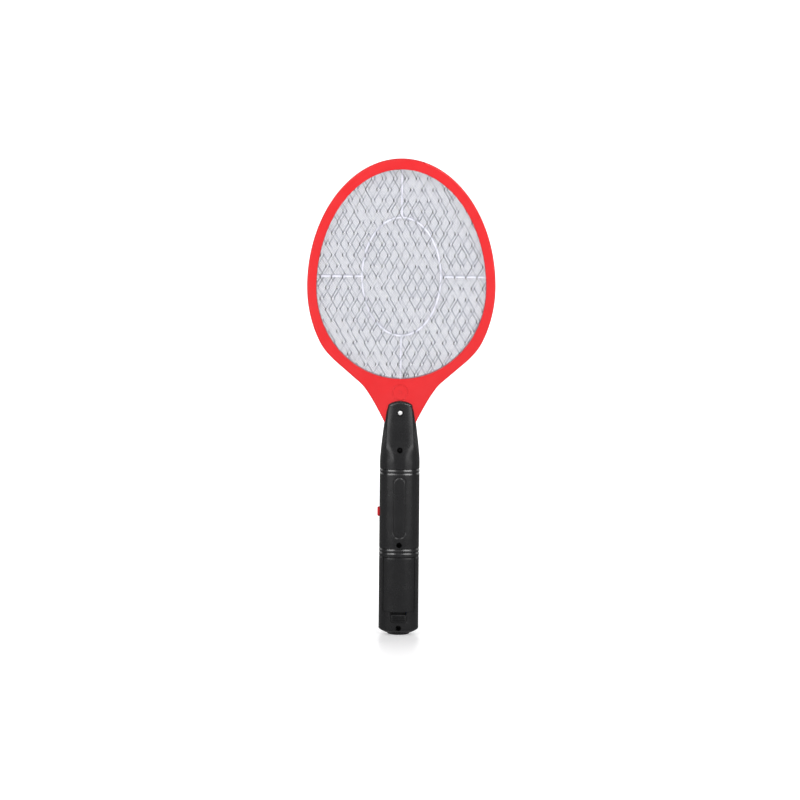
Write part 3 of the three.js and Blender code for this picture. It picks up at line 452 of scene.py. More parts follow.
def plastic(name, colour, roughness, mottle, wear, grain=0.35, depth=0.004, specular=0.5, see_through=0):
    """Moulded plastic: faint mottling, a fine spark-eroded grain, rubbed patches and hairline scratches."""
    tree = Tree(name)
    blotches = tree.ramp(tree.noise(45, 4), 0.3, 0.7)
    base = tree.mix(blotches, scaled(colour, 1 - mottle), scaled(colour, 1 + mottle))
    hairs = tree.noise(260, 2, vector=tree.stretched((1, 1, 0.06), (0.35, 0.5, 0.2)))
    scratches = tree.ramp(hairs, 0.66, 0.7)
    rubbed = tree.ramp(tree.noise(28, 5, 0.65), 0.52, 0.72)
    marks = tree.add(scratches, rubbed, "MULTIPLY")
    faded = tree.mix(tree.add(marks, 0.25 * wear, "MULTIPLY"), base, scaled(colour, 1.35))
    sparks = tree.noise(1000 / grain, 2, 0.5)
    uneven = tree.ramp(tree.noise(70, 4), 0.3, 0.7, -0.06, 0.06)
    worn = tree.add(rubbed, -0.07 * wear, "MULTIPLY")
    total = tree.add(tree.add(uneven, worn), roughness)
    rough = tree.add(total, tree.add(marks, 0.12 * wear, "MULTIPLY"))
    shallow = tree.bump(tree.noise(160, 3), 0.00004, 0.5)
    normal = tree.bump(sparks, depth * MM, 0.6, Normal=shallow)
    gloss = {"Specular_IOR_Level": specular, "Transmission_Weight": see_through}
    return tree.finish(faded, rough, Normal=normal, **gloss)


DRAWING_MARKS = 0.000006  # their depth in metal, in metres
EVEN, DRAWN_UP = (1, 1, 1), (1, 1, 0.2)  # how they are stretched


def drawn(tree, brushed):
    """Fine marks from drawing or brushing a metal."""
    return tree.ramp(tree.noise(2500, 2, vector=tree.stretched(brushed)), 0.3, 0.7)


def plated(name, colour, roughness, patch_darkness, patch_scale, brushed, dark, metal=1):
    """Plated or bare metal with darker tarnished patches and fine drawing marks."""
    tree = Tree(name)
    patches = tree.ramp(tree.noise(patch_scale, 3, 0.6), 0.42, 0.62)
    strength = tree.add(patches, patch_darkness, "MULTIPLY")
    fine = drawn(tree, brushed)
    toned = tree.mix(fine, scaled(colour, 0.9), scaled(colour, 1.08))
    tone = tree.mix(strength, toned, scaled(colour, dark))
    rough = tree.add(tree.ramp(fine, 0, 1, roughness - 0.05, roughness + 0.07), strength)
    normal = tree.bump(fine, DRAWING_MARKS, 0.5)
    return tree.finish(tone, tree.ramp(rough, 0, 1.4), Normal=normal, Metallic=metal)


def net_wire(name, colour):
    """Plated net wire: dark patches of painted reflection, and dark wherever two wires twist together at a
    knot.
    """
    tree = Tree(name)
    row_height = NET_CELL.height / 2 * MM
    rows = tree.add(tree.add(tree.along("Z"), -OPENING.centre_z * MM), row_height, "DIVIDE")
    off_row = tree.add(rows, 0.5, "PINGPONG")
    knots = tree.add(tree.ramp(off_row, 0.11, 0.19, 1, 0), 0.92, "MULTIPLY")
    # painted reflection: dark patches stand in for the dark surroundings that the wires mirror
    patch_darkness = tree.add(tree.ramp(tree.noise(90, 3, 0.6), 0.45, 0.62), 0.75, "MULTIPLY")
    dark = tree.add(knots, patch_darkness, "MAXIMUM")
    fine = drawn(tree, DRAWN_UP)
    toned = tree.mix(fine, scaled(colour, 0.92), scaled(colour, 1.06))
    tone = tree.mix(dark, toned, scaled(colour, 0.1))
    rough = tree.ramp(dark, 0, 1, 0.28, 0.5)
    return tree.finish(tone, rough, Normal=tree.bump(fine, DRAWING_MARKS, 0.5), Metallic=0.6)


def wound(name, colour):
    """Enamelled copper laid in close turns."""
    tree = Tree(name)
    wave = tree.wave(900, 0.6)
    shadowed = tree.mix(wave, scaled(colour, 0.35), colour)
    tone = tree.mix(tree.noise(300, 3), shadowed, scaled(colour, 0.8))
    rough = tree.ramp(tree.noise(500), 0.3, 0.7, 0.25, 0.45)
    return tree.finish(tone, rough, Normal=tree.bump(wave, 0.0001, 0.8), Metallic=0.6)


def banded(name, colour):
    """Lacquered resistor body with plain colour bands round it."""
    tree = Tree(name)
    band = tree.ramp(tree.wave(190), 0.72, 0.78)
    lacquer = tree.mix(tree.noise(400, 3), scaled(colour, 0.85), colour)
    rough = tree.ramp(tree.noise(350), 0.3, 0.7, 0.3, 0.45)
    tone = tree.mix(band, lacquer, srgb(120, 60, 30))
    return tree.finish(tone, rough, Normal=tree.bump(tree.noise(1400), 0.00002, 0.6))


def cell_sleeve(name, colour):
    """Shrink-sleeved cell with a copper-coloured band round its upper end."""
    tree = Tree(name)
    end = tree.ramp(tree.along("Z"), 0.0569, 0.0571)
    speckle = tree.ramp(tree.noise(900, 3), 0.35, 0.65)
    tone = tree.mix(end, tree.mix(speckle, colour, srgb(36, 78, 156)), srgb(196, 120, 66))
    rough = tree.ramp(tree.noise(300, 4), 0.3, 0.7, 0.22, 0.36)
    return tree.finish(tone, rough, Normal=tree.bump(tree.noise(700, 3), 0.00003, 0.6), Metallic=0.35)


LOOKS = [  # slot, or a screw head's look; its maker, its colour and what else that maker takes
    ("frame_red", plastic, (211, 27, 32), 0.38, 0.03, 0.5, 0.35, 0.004, 0.45),
    ("shell_black", plastic, (31, 31, 32), 0.23, 0.08, 0.6, 0.3, 0.003),
    ("button_red", plastic, (206, 28, 38), 0.48, 0.04, 0.6, 0.35, 0.004, 0.3),
    ("net_steel", net_wire, (198, 200, 208)),
    ("fine_mesh", plated, (170, 172, 185), 0.5, 0.25, 60, DRAWN_UP, 0.8, 0.3),
    ("spacer_white", plastic, (214, 214, 225), 0.45, 0.02, 0.2),
    ("nickel", plated, (214, 212, 206), 0.24, 0.3, 300, (1, 0.3, 1), 0.55),
    # screw 1's head: near-white, a painted highlight where the head catches a lamp
    ("bright_zinc", plated, (252, 252, 252), 0.5, 0.1, 300, EVEN, 0.85, 0.3),
    # the other screw heads: darkened, painted shade of their deep recesses
    ("dull_zinc", plated, (66, 66, 68), 0.5, 0.4, 300, EVEN, 0.5),
    ("board_green", plastic, (38, 96, 52), 0.4, 0.12, 0.2, 0.8, 0.01),
    ("ferrite", plastic, (58, 58, 62), 0.7, 0.15, 0.3, 0.25, 0.02),
    ("winding", wound, (196, 132, 52)),
    ("film_red", plastic, (140, 44, 34), 0.28, 0.1, 0.2, 0.7, 0.008),
    ("epoxy_black", plastic, (24, 24, 26), 0.5, 0.1, 0.3, 0.3, 0.01),
    ("resistor_tan", banded, (206, 180, 132)),
    ("lamp_red", plastic, (210, 24, 20), 0.12, 0.05, 0.1, 0.35, 0.004, 0.5, 0.7),
    ("cell_sleeve", cell_sleeve, (28, 66, 138)),
    ("wire_red", plastic, (176, 24, 24), 0.45, 0.06, 0.3),
    ("wire_black", plastic, (24, 24, 25), 0.45, 0.06, 0.3),
]
MATERIALS = {name: make(name, srgb(*colour), *values) for name, make, colour, *values in LOOKS}
SLOT_OF = {row["node"]: row["material_slot"] for row in frame["record"]["subparts"]}


def finish_piece(obj, name, slot, *nodes, body="swatter", look=None):
    """Gives a piece its name, finish and body, and lets it stand for CAD nodes."""
    obj.name = name
    obj.data.name = name
    obj.data.materials.clear()
    obj.data.materials.append(MATERIALS[look or slot])
    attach(obj, body)
    if nodes:
        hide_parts(*nodes)
    return obj


# ---- Outlines of the head ----


def egg(shape, grow=0, count=160):
    """A closed egg: one half-ellipse above its widest line and another below it."""
    points = []
    for a in angles_round(count):
        rise = (shape.upper if sin(a) > 0 else shape.lower) + grow
        points.append(Vector(((shape.half_width + grow) * cos(a), shape.centre_z + rise * sin(a))))
    return points


def slope_curve(start, start_slope, end, end_slope, divisions):
    """Points of a curve from start to end on the given slopes, both going down and inwards."""
    turn = sin(end_slope - start_slope)
    across, down = start.x - end.x, start.y - end.y
    reach = (across * sin(end_slope) - down * cos(end_slope)) / turn
    corner = start - Vector((cos(start_slope), sin(start_slope))) * reach
    points = []
    for i in range(1, divisions + 1):
        t = i / divisions
        points.append(start * (1 - t) ** 2 + corner * (2 * t * (1 - t)) + end * t**2)
    return points


def frame_outline():
    """Counter-clockwise outline of the frame with its flare, neck and tang."""
    crown_steps, cheek_steps = 56, 16
    angles = [pi / 2 * (1 - i / crown_steps) for i in range(crown_steps + 1)]
    angles += [FLARE_START * i / cheek_steps for i in range(1, cheek_steps + 1)]
    right = []
    for a in angles:
        height = HEAD.upper if a >= 0 else HEAD.lower
        right.append(Vector((HEAD.half_width * cos(a), HEAD.centre_z + height * sin(a))))
    rise = HEAD.lower * cos(FLARE_START)
    run = -HEAD.half_width * sin(FLARE_START)
    shoulder_z = HANDLE_TOP_Z + GAP
    right += slope_curve(right[-1], atan2(rise, run), KNEE, KNEE_SLOPE, 14)
    right.append(BEND)
    right += slope_curve(BEND, KNEE_SLOPE, Vector((NECK_HALF_WIDTH, shoulder_z)), NECK_SLOPE, 16)
    right.append(Vector((TANG.half_width, shoulder_z)))
    right.append(Vector((TANG.half_width, TANG.bottom_z)))
    left = [Vector((-p.x, p.y)) for p in right if p.x > 1e-6]
    return list(reversed(right)) + left


# ---- Head frame ----


def span(side, near, far):
    """Two depths on one side of the parting plane, the lower one first."""
    return (near, far) if side > 0 else (-far, -near)


def frame_half(side):
    """One moulding of the head frame: a channel with rounded edges, open towards the other half."""
    outer = HEAD.half_depth
    outline, opening = frame_outline(), egg(OPENING)
    skin = outer - FRAME_SKIN
    rounds = [(FRAME_EDGE.parting, FRAME_EDGE.outer)[::side], (0, FRAME_EDGE.opening)[::side]]
    half = plate("half", [outline, opening], *span(side, PARTING, outer), rounds)
    hollow = plate("hollow", [move_inwards(outline, FRAME_WALL)], *span(side, -1, skin), [(0, 0)])
    mouth_half = TANG.half_width - FRAME_WALL
    mouth_top = TANG.bottom_z + 2 * FRAME_WALL
    mouth = box(-mouth_half, mouth_half, -skin, skin, TANG.bottom_z - 1, mouth_top)
    cut(half, hollow, mouth)
    inner = outer - FRAME_SKIN / 2
    for z, *_ in SCREWS[:2]:
        join(half, rod_y(FRAME_BOSS, *span(side, PARTING, inner), 0, z))
        cut(half, rod_y(CLEARANCE, -FAR, FAR, 0, z))
    return half


def neck_mark(half):
    """A raised ring with a dot in it on the neck above the handle."""
    z, radius = NECK_MARK.z, NECK_MARK.radius
    top, root = -HEAD.half_depth - NECK_MARK.proud, -HEAD.half_depth + FRAME_SKIN / 2
    ring = [circle(radius, 0, z, 96), circle(radius - NECK_MARK.line, 0, z, 96)]
    join(half, plate("ring", ring, top, root, [(0.25, 0), (0.25, 0)], 3))
    join(half, plate("dot", [circle(NECK_MARK.dot, 0, z)], top, root, [(0.3, 0)], 3))


def build_frame():
    back = frame_half(-1)
    neck_mark(back)
    finish_piece(shade(back), "head_frame_back_moulding", "frame_red", "head_frame_back")
    finish_piece(shade(frame_half(1)), "head_frame_front_moulding", "frame_red", "head_frame_front")


# ---- Nets and spacers ----


def inside_opening(x, z, grow):
    half_width = OPENING.half_width + grow
    rise = z - OPENING.centre_z
    half_height = (OPENING.upper if rise > 0 else OPENING.lower) + grow
    return hypot(x / half_width, rise / half_height) < 1


def inside_runs(points, grow):
    """The stretches of a line that lie inside the opening grown by so much."""
    stretches = groupby(points, lambda point: inside_opening(point.x, point.z, grow))
    runs = [list(stretch) for is_inside, stretch in stretches if is_inside]
    return [run for run in runs if len(run) > 5]


def within(rng, limit):
    return rng.uniform(-limit, limit)


def zigzag(index, shift, y, rng):
    """One net wire from top to bottom; at each knot it runs straight beside its neighbour."""
    half_width, half_height = NET_CELL.width / 4, NET_CELL.height / 2
    knot, side_room = NET_KNOT.half_height, NET_WIRE_RADIUS * NET_KNOT.apart
    centre = index * NET_CELL.width / 2 + shift
    rows = int((OPENING.upper + 12) / half_height) + 1
    sway, phase = within(rng, NET_UNEVEN.sway), rng.uniform(0, NET_UNEVEN.phase)
    points = []
    for row in range(-rows, rows + 1):
        side = 1 if (row + index) % 2 == 0 else -1
        bend = centre + side * (half_width - side_room)
        x = bend + within(rng, NET_UNEVEN.across) + sway * sin(phase + row * NET_UNEVEN.wave)
        z = OPENING.centre_z + row * half_height + within(rng, NET_UNEVEN.along)
        depth = y + within(rng, NET_UNEVEN.depth)
        points += [Vector((x, depth, z - knot)), Vector((x, depth, z + knot))]
    return points


def refined(points, step):
    """The same line with a point at least every step, so that it can be cut at the opening's edge."""
    fine = [points[0]]
    for before, after in zip(points, points[1:]):
        count = max(1, ceil((after - before).length / step))
        fine += [before.lerp(after, i / count) for i in range(1, count + 1)]
    return fine


def build_net(name, node, y, shift, seed):
    rng = random.Random(seed)
    verts, faces = [], []
    wires = int((OPENING.half_width + NET_REACH) / (NET_CELL.width / 2)) + 2
    for index in range(-wires, wires + 1):
        line = refined(zigzag(index, shift, y, rng), NET_STEP)
        for run in inside_runs(line, NET_REACH):
            sweep(run, NET_WIRE_RADIUS, NET_SIDES, verts, faces)
    border = [Vector((p.x, y, p.y)) for p in egg(OPENING, NET_REACH - NET_BORDER.inside, NET_BORDER.count)]
    border.append(border[0])
    sweep(border, NET_WIRE_RADIUS, NET_SIDES, verts, faces)
    net = tidy_normals(add_object(name, verts, faces))
    finish_piece(shade(net, 50, weighted=False), name, "net_steel", node)


def strip_through(angle, offset, grow):
    """Where a straight line across the opening enters and leaves it."""
    along = Vector((cos(angle), sin(angle)))
    start = Vector((0, OPENING.centre_z)) + Vector((-along.y, along.x)) * offset
    reach = OPENING.upper + OPENING.half_width
    steps = 900
    line = [start + along * (-reach + 2 * reach * i / steps) for i in range(steps + 1)]
    inside = [point for point in line if inside_opening(point.x, point.y, grow)]
    return (inside[0], inside[-1]) if len(inside) > 4 else None


def build_fine_mesh():
    """Fine expanded mesh: two layers of narrow bars that cross in small diamonds."""
    rng = random.Random(11)
    thick = FINE.thickness / 2
    verts, faces = [], []
    for layer, angle in enumerate((FINE.lean, pi - FINE.lean)):
        y = (layer - 0.5) * FINE.apart
        across = Vector((-sin(angle), cos(angle)))
        count = int(FINE.reach / FINE.pitch)
        for k in range(-count, count + 1):
            ends = strip_through(angle, k * FINE.pitch + within(rng, FINE.uneven), NET_REACH)
            if not ends:
                continue
            edges = [end + across * side for end in ends for side in (-FINE.width / 2, FINE.width / 2)]
            corners = [(edge.x, depth, edge.y) for edge in edges for depth in (y - thick, y + thick)]
            base = len(verts)
            verts += corners
            faces += [tuple(base + q for q in quad) for quad in BOX_FACES]
    mesh = tidy_normals(add_object("fine_mesh", verts, faces))
    finish_piece(mesh, "middle_fine_mesh", "fine_mesh", "middle_net")


def build_spacer(name, node, y0, y1):
    half = SPACER_BAR / 2
    rim = [egg(OPENING, SPACER_RIM.outer), egg(OPENING, SPACER_RIM.inner)]
    ring = [egg(SPACER_OVAL, half, 128), egg(SPACER_OVAL, -half, 128)]
    spacer = plate(name, rim, y0, y1, [SPACER_EDGE] * 2, 3)
    join(spacer, plate("oval", ring, y0, y1, [SPACER_EDGE] * 2, 3))
    z, wide, tall = SPACER_OVAL.centre_z, SPACER_OVAL.half_width, SPACER_OVAL.upper
    top, bottom = OPENING.centre_z + OPENING.upper + 1, OPENING.centre_z - OPENING.lower - 1
    side = OPENING.half_width + 0.5
    spans = [
        (-half, half, z + tall, top),
        (-half, half, bottom, z - tall),
        (-side, -wide, z - half, z + half),
        (wide, side, z - half, z + half),
    ]
    for x0, x1, z0, z1 in spans:
        corners = [Vector((x0, z0)), Vector((x1, z0)), Vector((x1, z1)), Vector((x0, z1))]
        join(spacer, plate("spoke", [corners], y0, y1, [SPACER_EDGE], 3))
    finish_piece(shade(spacer), name, "spacer_white", node)


def build_lead_loop():
    """The bare twisted lead that hooks on to the near net at the foot of the opening."""
    rng = random.Random(5)
    y = -NET_Y - LEAD.gap
    peak, left, right = Vector((5.6, y, 254.5)), Vector((2.9, y, 244.6)), Vector((8, y, 244.4))
    bar = [Vector((3.4, y - 0.3, 248.2)), Vector((5.5, y - 0.5, 248.8)), Vector((7.6, y - 0.3, 248))]
    route = [left, left.lerp(peak, 0.5), peak, right.lerp(peak, 0.5), right]
    down = Vector((0, 1.6, -4.5))
    verts, faces = [], []
    for line in ([left + down, *route, right + down], bar):
        for strand in range(2):
            turned = []
            for i, point in enumerate(refined(line, LEAD.step)):
                a = i * LEAD.turn + strand * pi
                x, depth = cos(a) * LEAD.twist, sin(a) * LEAD.twist
                turned.append(point + Vector((x, depth, within(rng, LEAD.uneven))))
            sweep(turned, LEAD.radius, NET_SIDES, verts, faces)
    loop = tidy_normals(add_object("net_lead_loop", verts, faces))
    finish_piece(shade(loop, 60, weighted=False), "net_lead_loop", "net_steel")


def build_head():
    build_frame()
    build_net("back_net_wires", "back_net", -NET_Y, 0, 3)
    build_net("front_net_wires", "front_net", NET_Y, NET_CELL.width * 0.3, 8)
    build_fine_mesh()
    near, far = SPACER_Y.near, NET_Y - SPACER_Y.net_gap - GAP
    build_spacer("back_spacer_frame", "back_spacer", -far, -near)
    build_spacer("front_spacer_frame", "front_spacer", near, far)
    build_lead_loop()


# ---- Handle sections ----


def smooth_step(low, high, value):
    t = min(1, max(0, (value - low) / (high - low)))
    return t * t * (3 - 2 * t)


def eased(z, table, column):
    """A smooth curve through one column of a table whose first column is the height."""
    index = 1
    while index < len(table) - 1 and table[index][0] < z:
        index += 1

    def slope(i):
        low, high = max(i - 1, 0), min(i + 1, len(table) - 1)
        return (table[high][column] - table[low][column]) / (table[high][0] - table[low][0])

    low, high = table[index - 1], table[index]
    span = high[0] - low[0]
    t = (z - low[0]) / span
    near = slope(index - 1) if index > 1 else 0
    return (
        low[column] * (1 + 2 * t) * (1 - t) ** 2
        + high[column] * t * t * (3 - 2 * t)
        + near * span * t * (1 - t) ** 2
        - slope(index) * span * t * t * (1 - t)
    )


def arch_half_width(z):
    """Half-width of the tongue's arched top at a height."""
    rise = min(1, max(0, (z - TONGUE.shoulder_z) / TONGUE.arch))
    return TONGUE.half_width * (1 - rise ** TONGUE.power) ** (1 / TONGUE.power)


def station(z):
    """Half-width, half-depth and squareness of the handle's section at a height."""
    half_width, half_depth, power = (eased(z, STATIONS, column) for column in (1, 2, 3))
    if z > TONGUE.shoulder_z:
        half_width = min(half_width, arch_half_width(z))
    return half_width, half_depth, power


ARCH = [
    Vector((arch_half_width(z), z))
    for z in [TONGUE.shoulder_z + TONGUE.arch * sin(a) for a in quarter_turn(40)]
]


def arch_drop(x, z):
    """How far the tongue's face falls away near its arched edge."""
    away = min((point - Vector((abs(x), z))).length for point in ARCH)
    return TONGUE.fall * (1 - min(1, away / TONGUE.bevel)) ** TONGUE.ease


FACE_COLUMNS = [i / 34 for i in range(35)]
EDGE_COLUMNS = [i / 4 for i in range(1, 5)]
SIDE_COLUMNS = [i / 14 for i in range(1, 15)]


def quarter(z, inset):
    """Points (x, depth) of a quarter section, from the middle of the face to the parting plane."""
    half_width, half_depth, power = station(z)
    half_width, half_depth = half_width - inset, half_depth - inset
    panel = smooth_step(PANEL.low_z, PANEL.full_z, z)
    edge = min(eased(max(z, PANEL.low_z), PANEL_EDGES, 1) - inset, half_width - 0.25)
    edge_width = min(PANEL_EDGE.width, edge * 0.3)
    start = edge - edge_width
    near_arch = z > TONGUE.shoulder_z - TONGUE.bevel
    flank = FLANK.below - FLANK.change * smooth_step(HANDLE_TOP_Z - FLANK.blend, HANDLE_TOP_Z, z)

    def grip_depth(x):
        return half_depth * max(0, 1 - (x / half_width) ** power) ** (1 / power)

    def mixed(x, panel_depth):
        drop = arch_drop(x, z) if near_arch else 0
        return (x, grip_depth(x) + (panel_depth - drop - grip_depth(x)) * panel)

    def face_depth(x):
        return half_depth - PANEL_EDGE.crown * (x / edge) ** PANEL_EDGE.power

    points = [mixed(start * t, face_depth(start * t)) for t in FACE_COLUMNS]
    for t in EDGE_COLUMNS:
        x = start + edge_width * t
        points.append(mixed(x, face_depth(x) - PANEL_EDGE.drop * t**PANEL_EDGE.fall))
    corner_depth = points[-1][1]
    for t in SIDE_COLUMNS:
        share = grip_depth(edge) * (1 - t) / half_depth
        grip = (half_width * (1 - share**power) ** (1 / power), share * half_depth)
        wall = (edge + (half_width - edge) * sin(t * pi / 2) ** flank, corner_depth * (1 - t))
        points.append(tuple(g + (w - g) * panel for g, w in zip(grip, wall)))
    return points


def section(z, inset=0):
    """A full level ring of the grip, from the back middle round to it again."""
    right = quarter(z, inset)
    ring = [(x, -depth, z) for x, depth in right]
    ring += [(x, depth, z) for x, depth in reversed(right[:-1])]
    ring += [(-x, depth, z) for x, depth in right[1:]]
    ring += [(-x, -depth, z) for x, depth in reversed(right[1:-1])]
    return ring


def groove_inset(z):
    """How deep the ring grooves cut at a height: a long chamfer up to the bottom, then a short wall."""
    depth = 0
    for centre, deepest in GROOVES:
        away = (centre - z) / GROOVE.chamfer if z < centre else (z - centre) / GROOVE.wall
        depth = max(depth, deepest * (1 - away))
    return depth


def foot_inset(z):
    """How the lower end of the grip rounds in to the foot."""
    share = 1 - min(1, max(0, (z - FOOT.height) / BOWL.height))
    return BOWL.reach * share ** BOWL.power


def pill_groove(x, z):
    """How deep the line of the long oval on the grip cuts at a point."""
    end = PILL.half_width
    nearest = min(max(z, PILL.low_z + end), PILL.high_z - end)
    away = abs(hypot(x, z - nearest) - end) / PILL.line
    return PILL.depth * (0.5 + 0.5 * cos(pi * away)) if away < 1 else 0


def grip_heights(top):
    """Heights of the rings: closer at the grooves, the pill's ends, the foot and the tongue's arch."""
    heights = {FOOT.height + BOWL.height * (1 - cos(a)) for a in quarter_turn(14)}
    heights |= {8.5 + 4 * i for i in range(17)} | {84 + 2.4 * i for i in range(29)}
    heights |= {160 + 1.3 * i for i in range(43)}
    for centre, _ in GROOVES:
        heights |= {centre - GROOVE.chamfer * t for t in (1.15, 1, 0.9, 0.7, 0.5, 0.3, 0.1, 0)}
        heights |= {centre + GROOVE.wall * t for t in (0.2, 0.8, 1, 1.4)}
    for end in (PILL.low_z, PILL.high_z):
        heights |= {end + 0.4 * k for k in range(-18, 19)}
    rise = TONGUE.arch - TIP
    heights |= {TONGUE.shoulder_z + rise * sin(a) for a in quarter_turn(24)}
    kept = []
    for z in sorted(h for h in heights if FOOT.height <= h < top):
        if not kept or z - kept[-1] > 0.08:
            kept.append(z)
    return [*kept, top]


def grip_outside(inset=0, detail=True, top=HANDLE_TOP_Z):
    rings = []
    for z in grip_heights(top):
        ring = section(z, inset + (groove_inset(z) + foot_inset(z) if detail else 0))
        if detail:
            ring = [(x, y + (pill_groove(x, z) if y < 0 else 0), z) for x, y, _ in ring]
        rings.append(ring)
    return loft("grip", rings)


def grip_inside():
    floor = FOOT.height + WALL
    heights = [floor + BOWL.height * k / 8 for k in range(9)]
    heights += [10 + 10 * i for i in range(16)] + [165 + 3.6 * i for i in range(11)]
    return loft("inside", [section(min(z, HANDLE_TOP_Z), WALL + foot_inset(z - WALL)) for z in heights])


def foot_boss():
    loop = [Vector((FOOT.half_width * cos(a), FOOT.half_depth * sin(a))) for a in angles_round(96)]
    return plate_z("foot", loop, 0, FOOT.height + 1, (FOOT.round, 0), 4)


def handle_half(side):
    """One shell with its tongue: hollowed, with room for the frame's tang and neck."""
    half = cut(grip_outside(top=TONGUE.shoulder_z + TONGUE.arch - TIP), grip_inside())
    x, y = TANG.half_width + GAP, HEAD.half_depth + GAP
    cut(half, box(-x, x, -y, y, TANG.bottom_z - 2, HANDLE_TOP_Z + 1))
    cut(half, box(-FAR, FAR, -y, y, HANDLE_TOP_Z, HEAD.centre_z))
    join(half, foot_boss())
    return common(half, box(-FAR, FAR, *span(side, PARTING, FAR), -1, HEAD.centre_z))


def screw_columns(side):
    under = HEAD.half_depth + GAP
    columns = []
    for z, *_ in SCREWS[1:]:
        stop = under if z > TANG.bottom_z else PARTING
        columns.append(common(rod_y(BOSS, *span(side, stop, FAR), 0, z), grip_outside(WALL / 2)))
    return columns


def button_loop(clearance):
    half_width = BUTTON.half_width + clearance
    half_height = BUTTON.half_height + clearance
    points = []
    for centre, start in ((half_height - half_width, 0), (half_width - half_height, pi)):
        points += arc(0, BUTTON.z + centre, half_width, [start + pi * i / 16 for i in range(17)])
    return points


def button_hole():
    return plate_x("hole", button_loop(GAP), -FAR, BUTTON.inner_x + 1, (0, 0))


def build_back_shell():
    half = handle_half(-1)
    join(half, *screw_columns(-1))
    for z, mouth, seat, *_ in SCREWS:
        cut(half, rod_y(mouth, -FAR, seat, 0, z, 64), rod_y(CLEARANCE, -FAR, 0, 0, z))
    side, tab = DOOR.half_width + GAP, LATCH.half_width + GAP
    cut(half, box(-side, side, -FAR, DOOR.inner_y, DOOR.bottom_z - GAP, DOOR.top_z + GAP))
    cut(half, box(-tab, tab, -FAR, DOOR.inner_y, LATCH.bottom_z - GAP, DOOR.bottom_z + 1))
    cut(half, button_hole(), *door_seams(), latch_scoop())
    finish_piece(shade(half), "handle_back_moulding", "shell_black", "handle_back_shell")


def latch_scoop():
    """A shallow sunk border round the latch tab."""
    reach = LATCH.half_width + SCOOP.margin
    low, high = LATCH.bottom_z - SCOOP.margin, DOOR.bottom_z + 1
    return rounded_box_y(-reach, reach, -FAR, SCOOP.floor_y, low, high, SCOOP.corner, (0, 0.4))


def fitted(obj):
    """Trims something inside the grip to end within its wall."""
    return common(obj, grip_outside(WALL / 2, detail=False))


def bay_wall(z):
    rim = fitted(box(-FAR, FAR, PARTING, FAR, z, z + BAY.wall))
    return join(rim, box(-BAY.half_width, BAY.half_width, BAY.front, 1, z, z + BAY.wall))


def cell_cradle(z):
    rib = fitted(box(-FAR, FAR, PARTING, FAR, z, z + BAY.wall))
    low, high = z - 1, z + BAY.wall + 1
    return cut(rib, *[rod_z(CELL.radius + GAP, low, high, x, CELL.y) for x in (-CELL.x, CELL.x)])


def build_front_shell():
    half = handle_half(1)
    join(half, *screw_columns(1))
    ceiling_z, wall = BAY.ceiling_z, BAY.wall
    join(half, bay_wall(BAY.floor_z - wall), bay_wall(ceiling_z))
    join(half, *[cell_cradle(z) for z in CRADLES_Z])
    board_back = BOARD.face + BOARD.thickness
    for x, z in BOARD_SCREWS:
        join(half, fitted(rod_y(BOARD_POST.radius, board_back + GAP, FAR, x, z)))
        cut(half, rod_y(BOARD_POST.pilot, 0, BOARD_POST.pilot_end, x, z))
    for z, _, _, tip, *_ in SCREWS:
        cut(half, rod_y(SHANK + GAP, 0, tip + GAP, 0, z))
    for x in (-WIRE_HOLE.x, WIRE_HOLE.x):
        cut(half, rod_z(WIRE_HOLE.radius, ceiling_z - 1, ceiling_z + wall + 1, x, WIRE_HOLE.y))
    cut(half, rod_y(LAMP.radius + GAP, wall, FAR, 0, LAMP.z), button_hole())
    finish_piece(shade(half), "handle_front_moulding", "shell_black", "handle_front_shell")


def rounded_box_y(x0, x1, y0, y1, z0, z1, corner, edge=(0, 0)):
    """A block whose four corners are rounded in the view along Y."""
    left, right, low, high = x0 + corner, x1 - corner, z0 + corner, z1 - corner
    loop = []
    for start, (x, z) in enumerate(((right, high), (left, high), (left, low), (right, low))):
        loop += arc(x, z, corner, [pi / 2 * (start + i / 6) for i in range(7)])
    return plate("block", [loop], y0, y1, [edge])


def wall_piece(*block):
    """The part of the grip's wall that lies in a rounded block."""
    return common(cut(grip_outside(), grip_inside()), rounded_box_y(*block))


def door_seams():
    """A small V along each long side of the door, shared by the door and the shell."""
    seams = []
    for side in (-1, 1):
        x = side * (DOOR.half_width + GAP / 2)
        outwards = Vector((side * SEAM.lean, -1)).normalized()
        along = Vector((-outwards.y, outwards.x))
        apex = Vector((x, SEAM.apex_y))
        mouth = apex + outwards * SEAM.depth
        loop = [apex, mouth + along * SEAM.half_width, mouth - along * SEAM.half_width]
        if (loop[1] - loop[0]).cross(loop[2] - loop[0]) < 0:
            loop.reverse()
        seams.append(plate_z("seam", loop, DOOR.bottom_z - GAP, DOOR.top_z))
    return seams


def latch_crest():
    """What is taken off to slope the latch tab's top edge, where a finger presses."""
    half, low, high = LATCH.half_width + 1, LATCH.top_z - CREST.fall, LATCH.top_z + CREST.rise
    slope = [(CREST.near_y, low), (CREST.far_y, high), (-FAR, high), (-FAR, low)]
    return plate_x("crest", [Vector(corner) for corner in slope], -half, half, (0, 0))


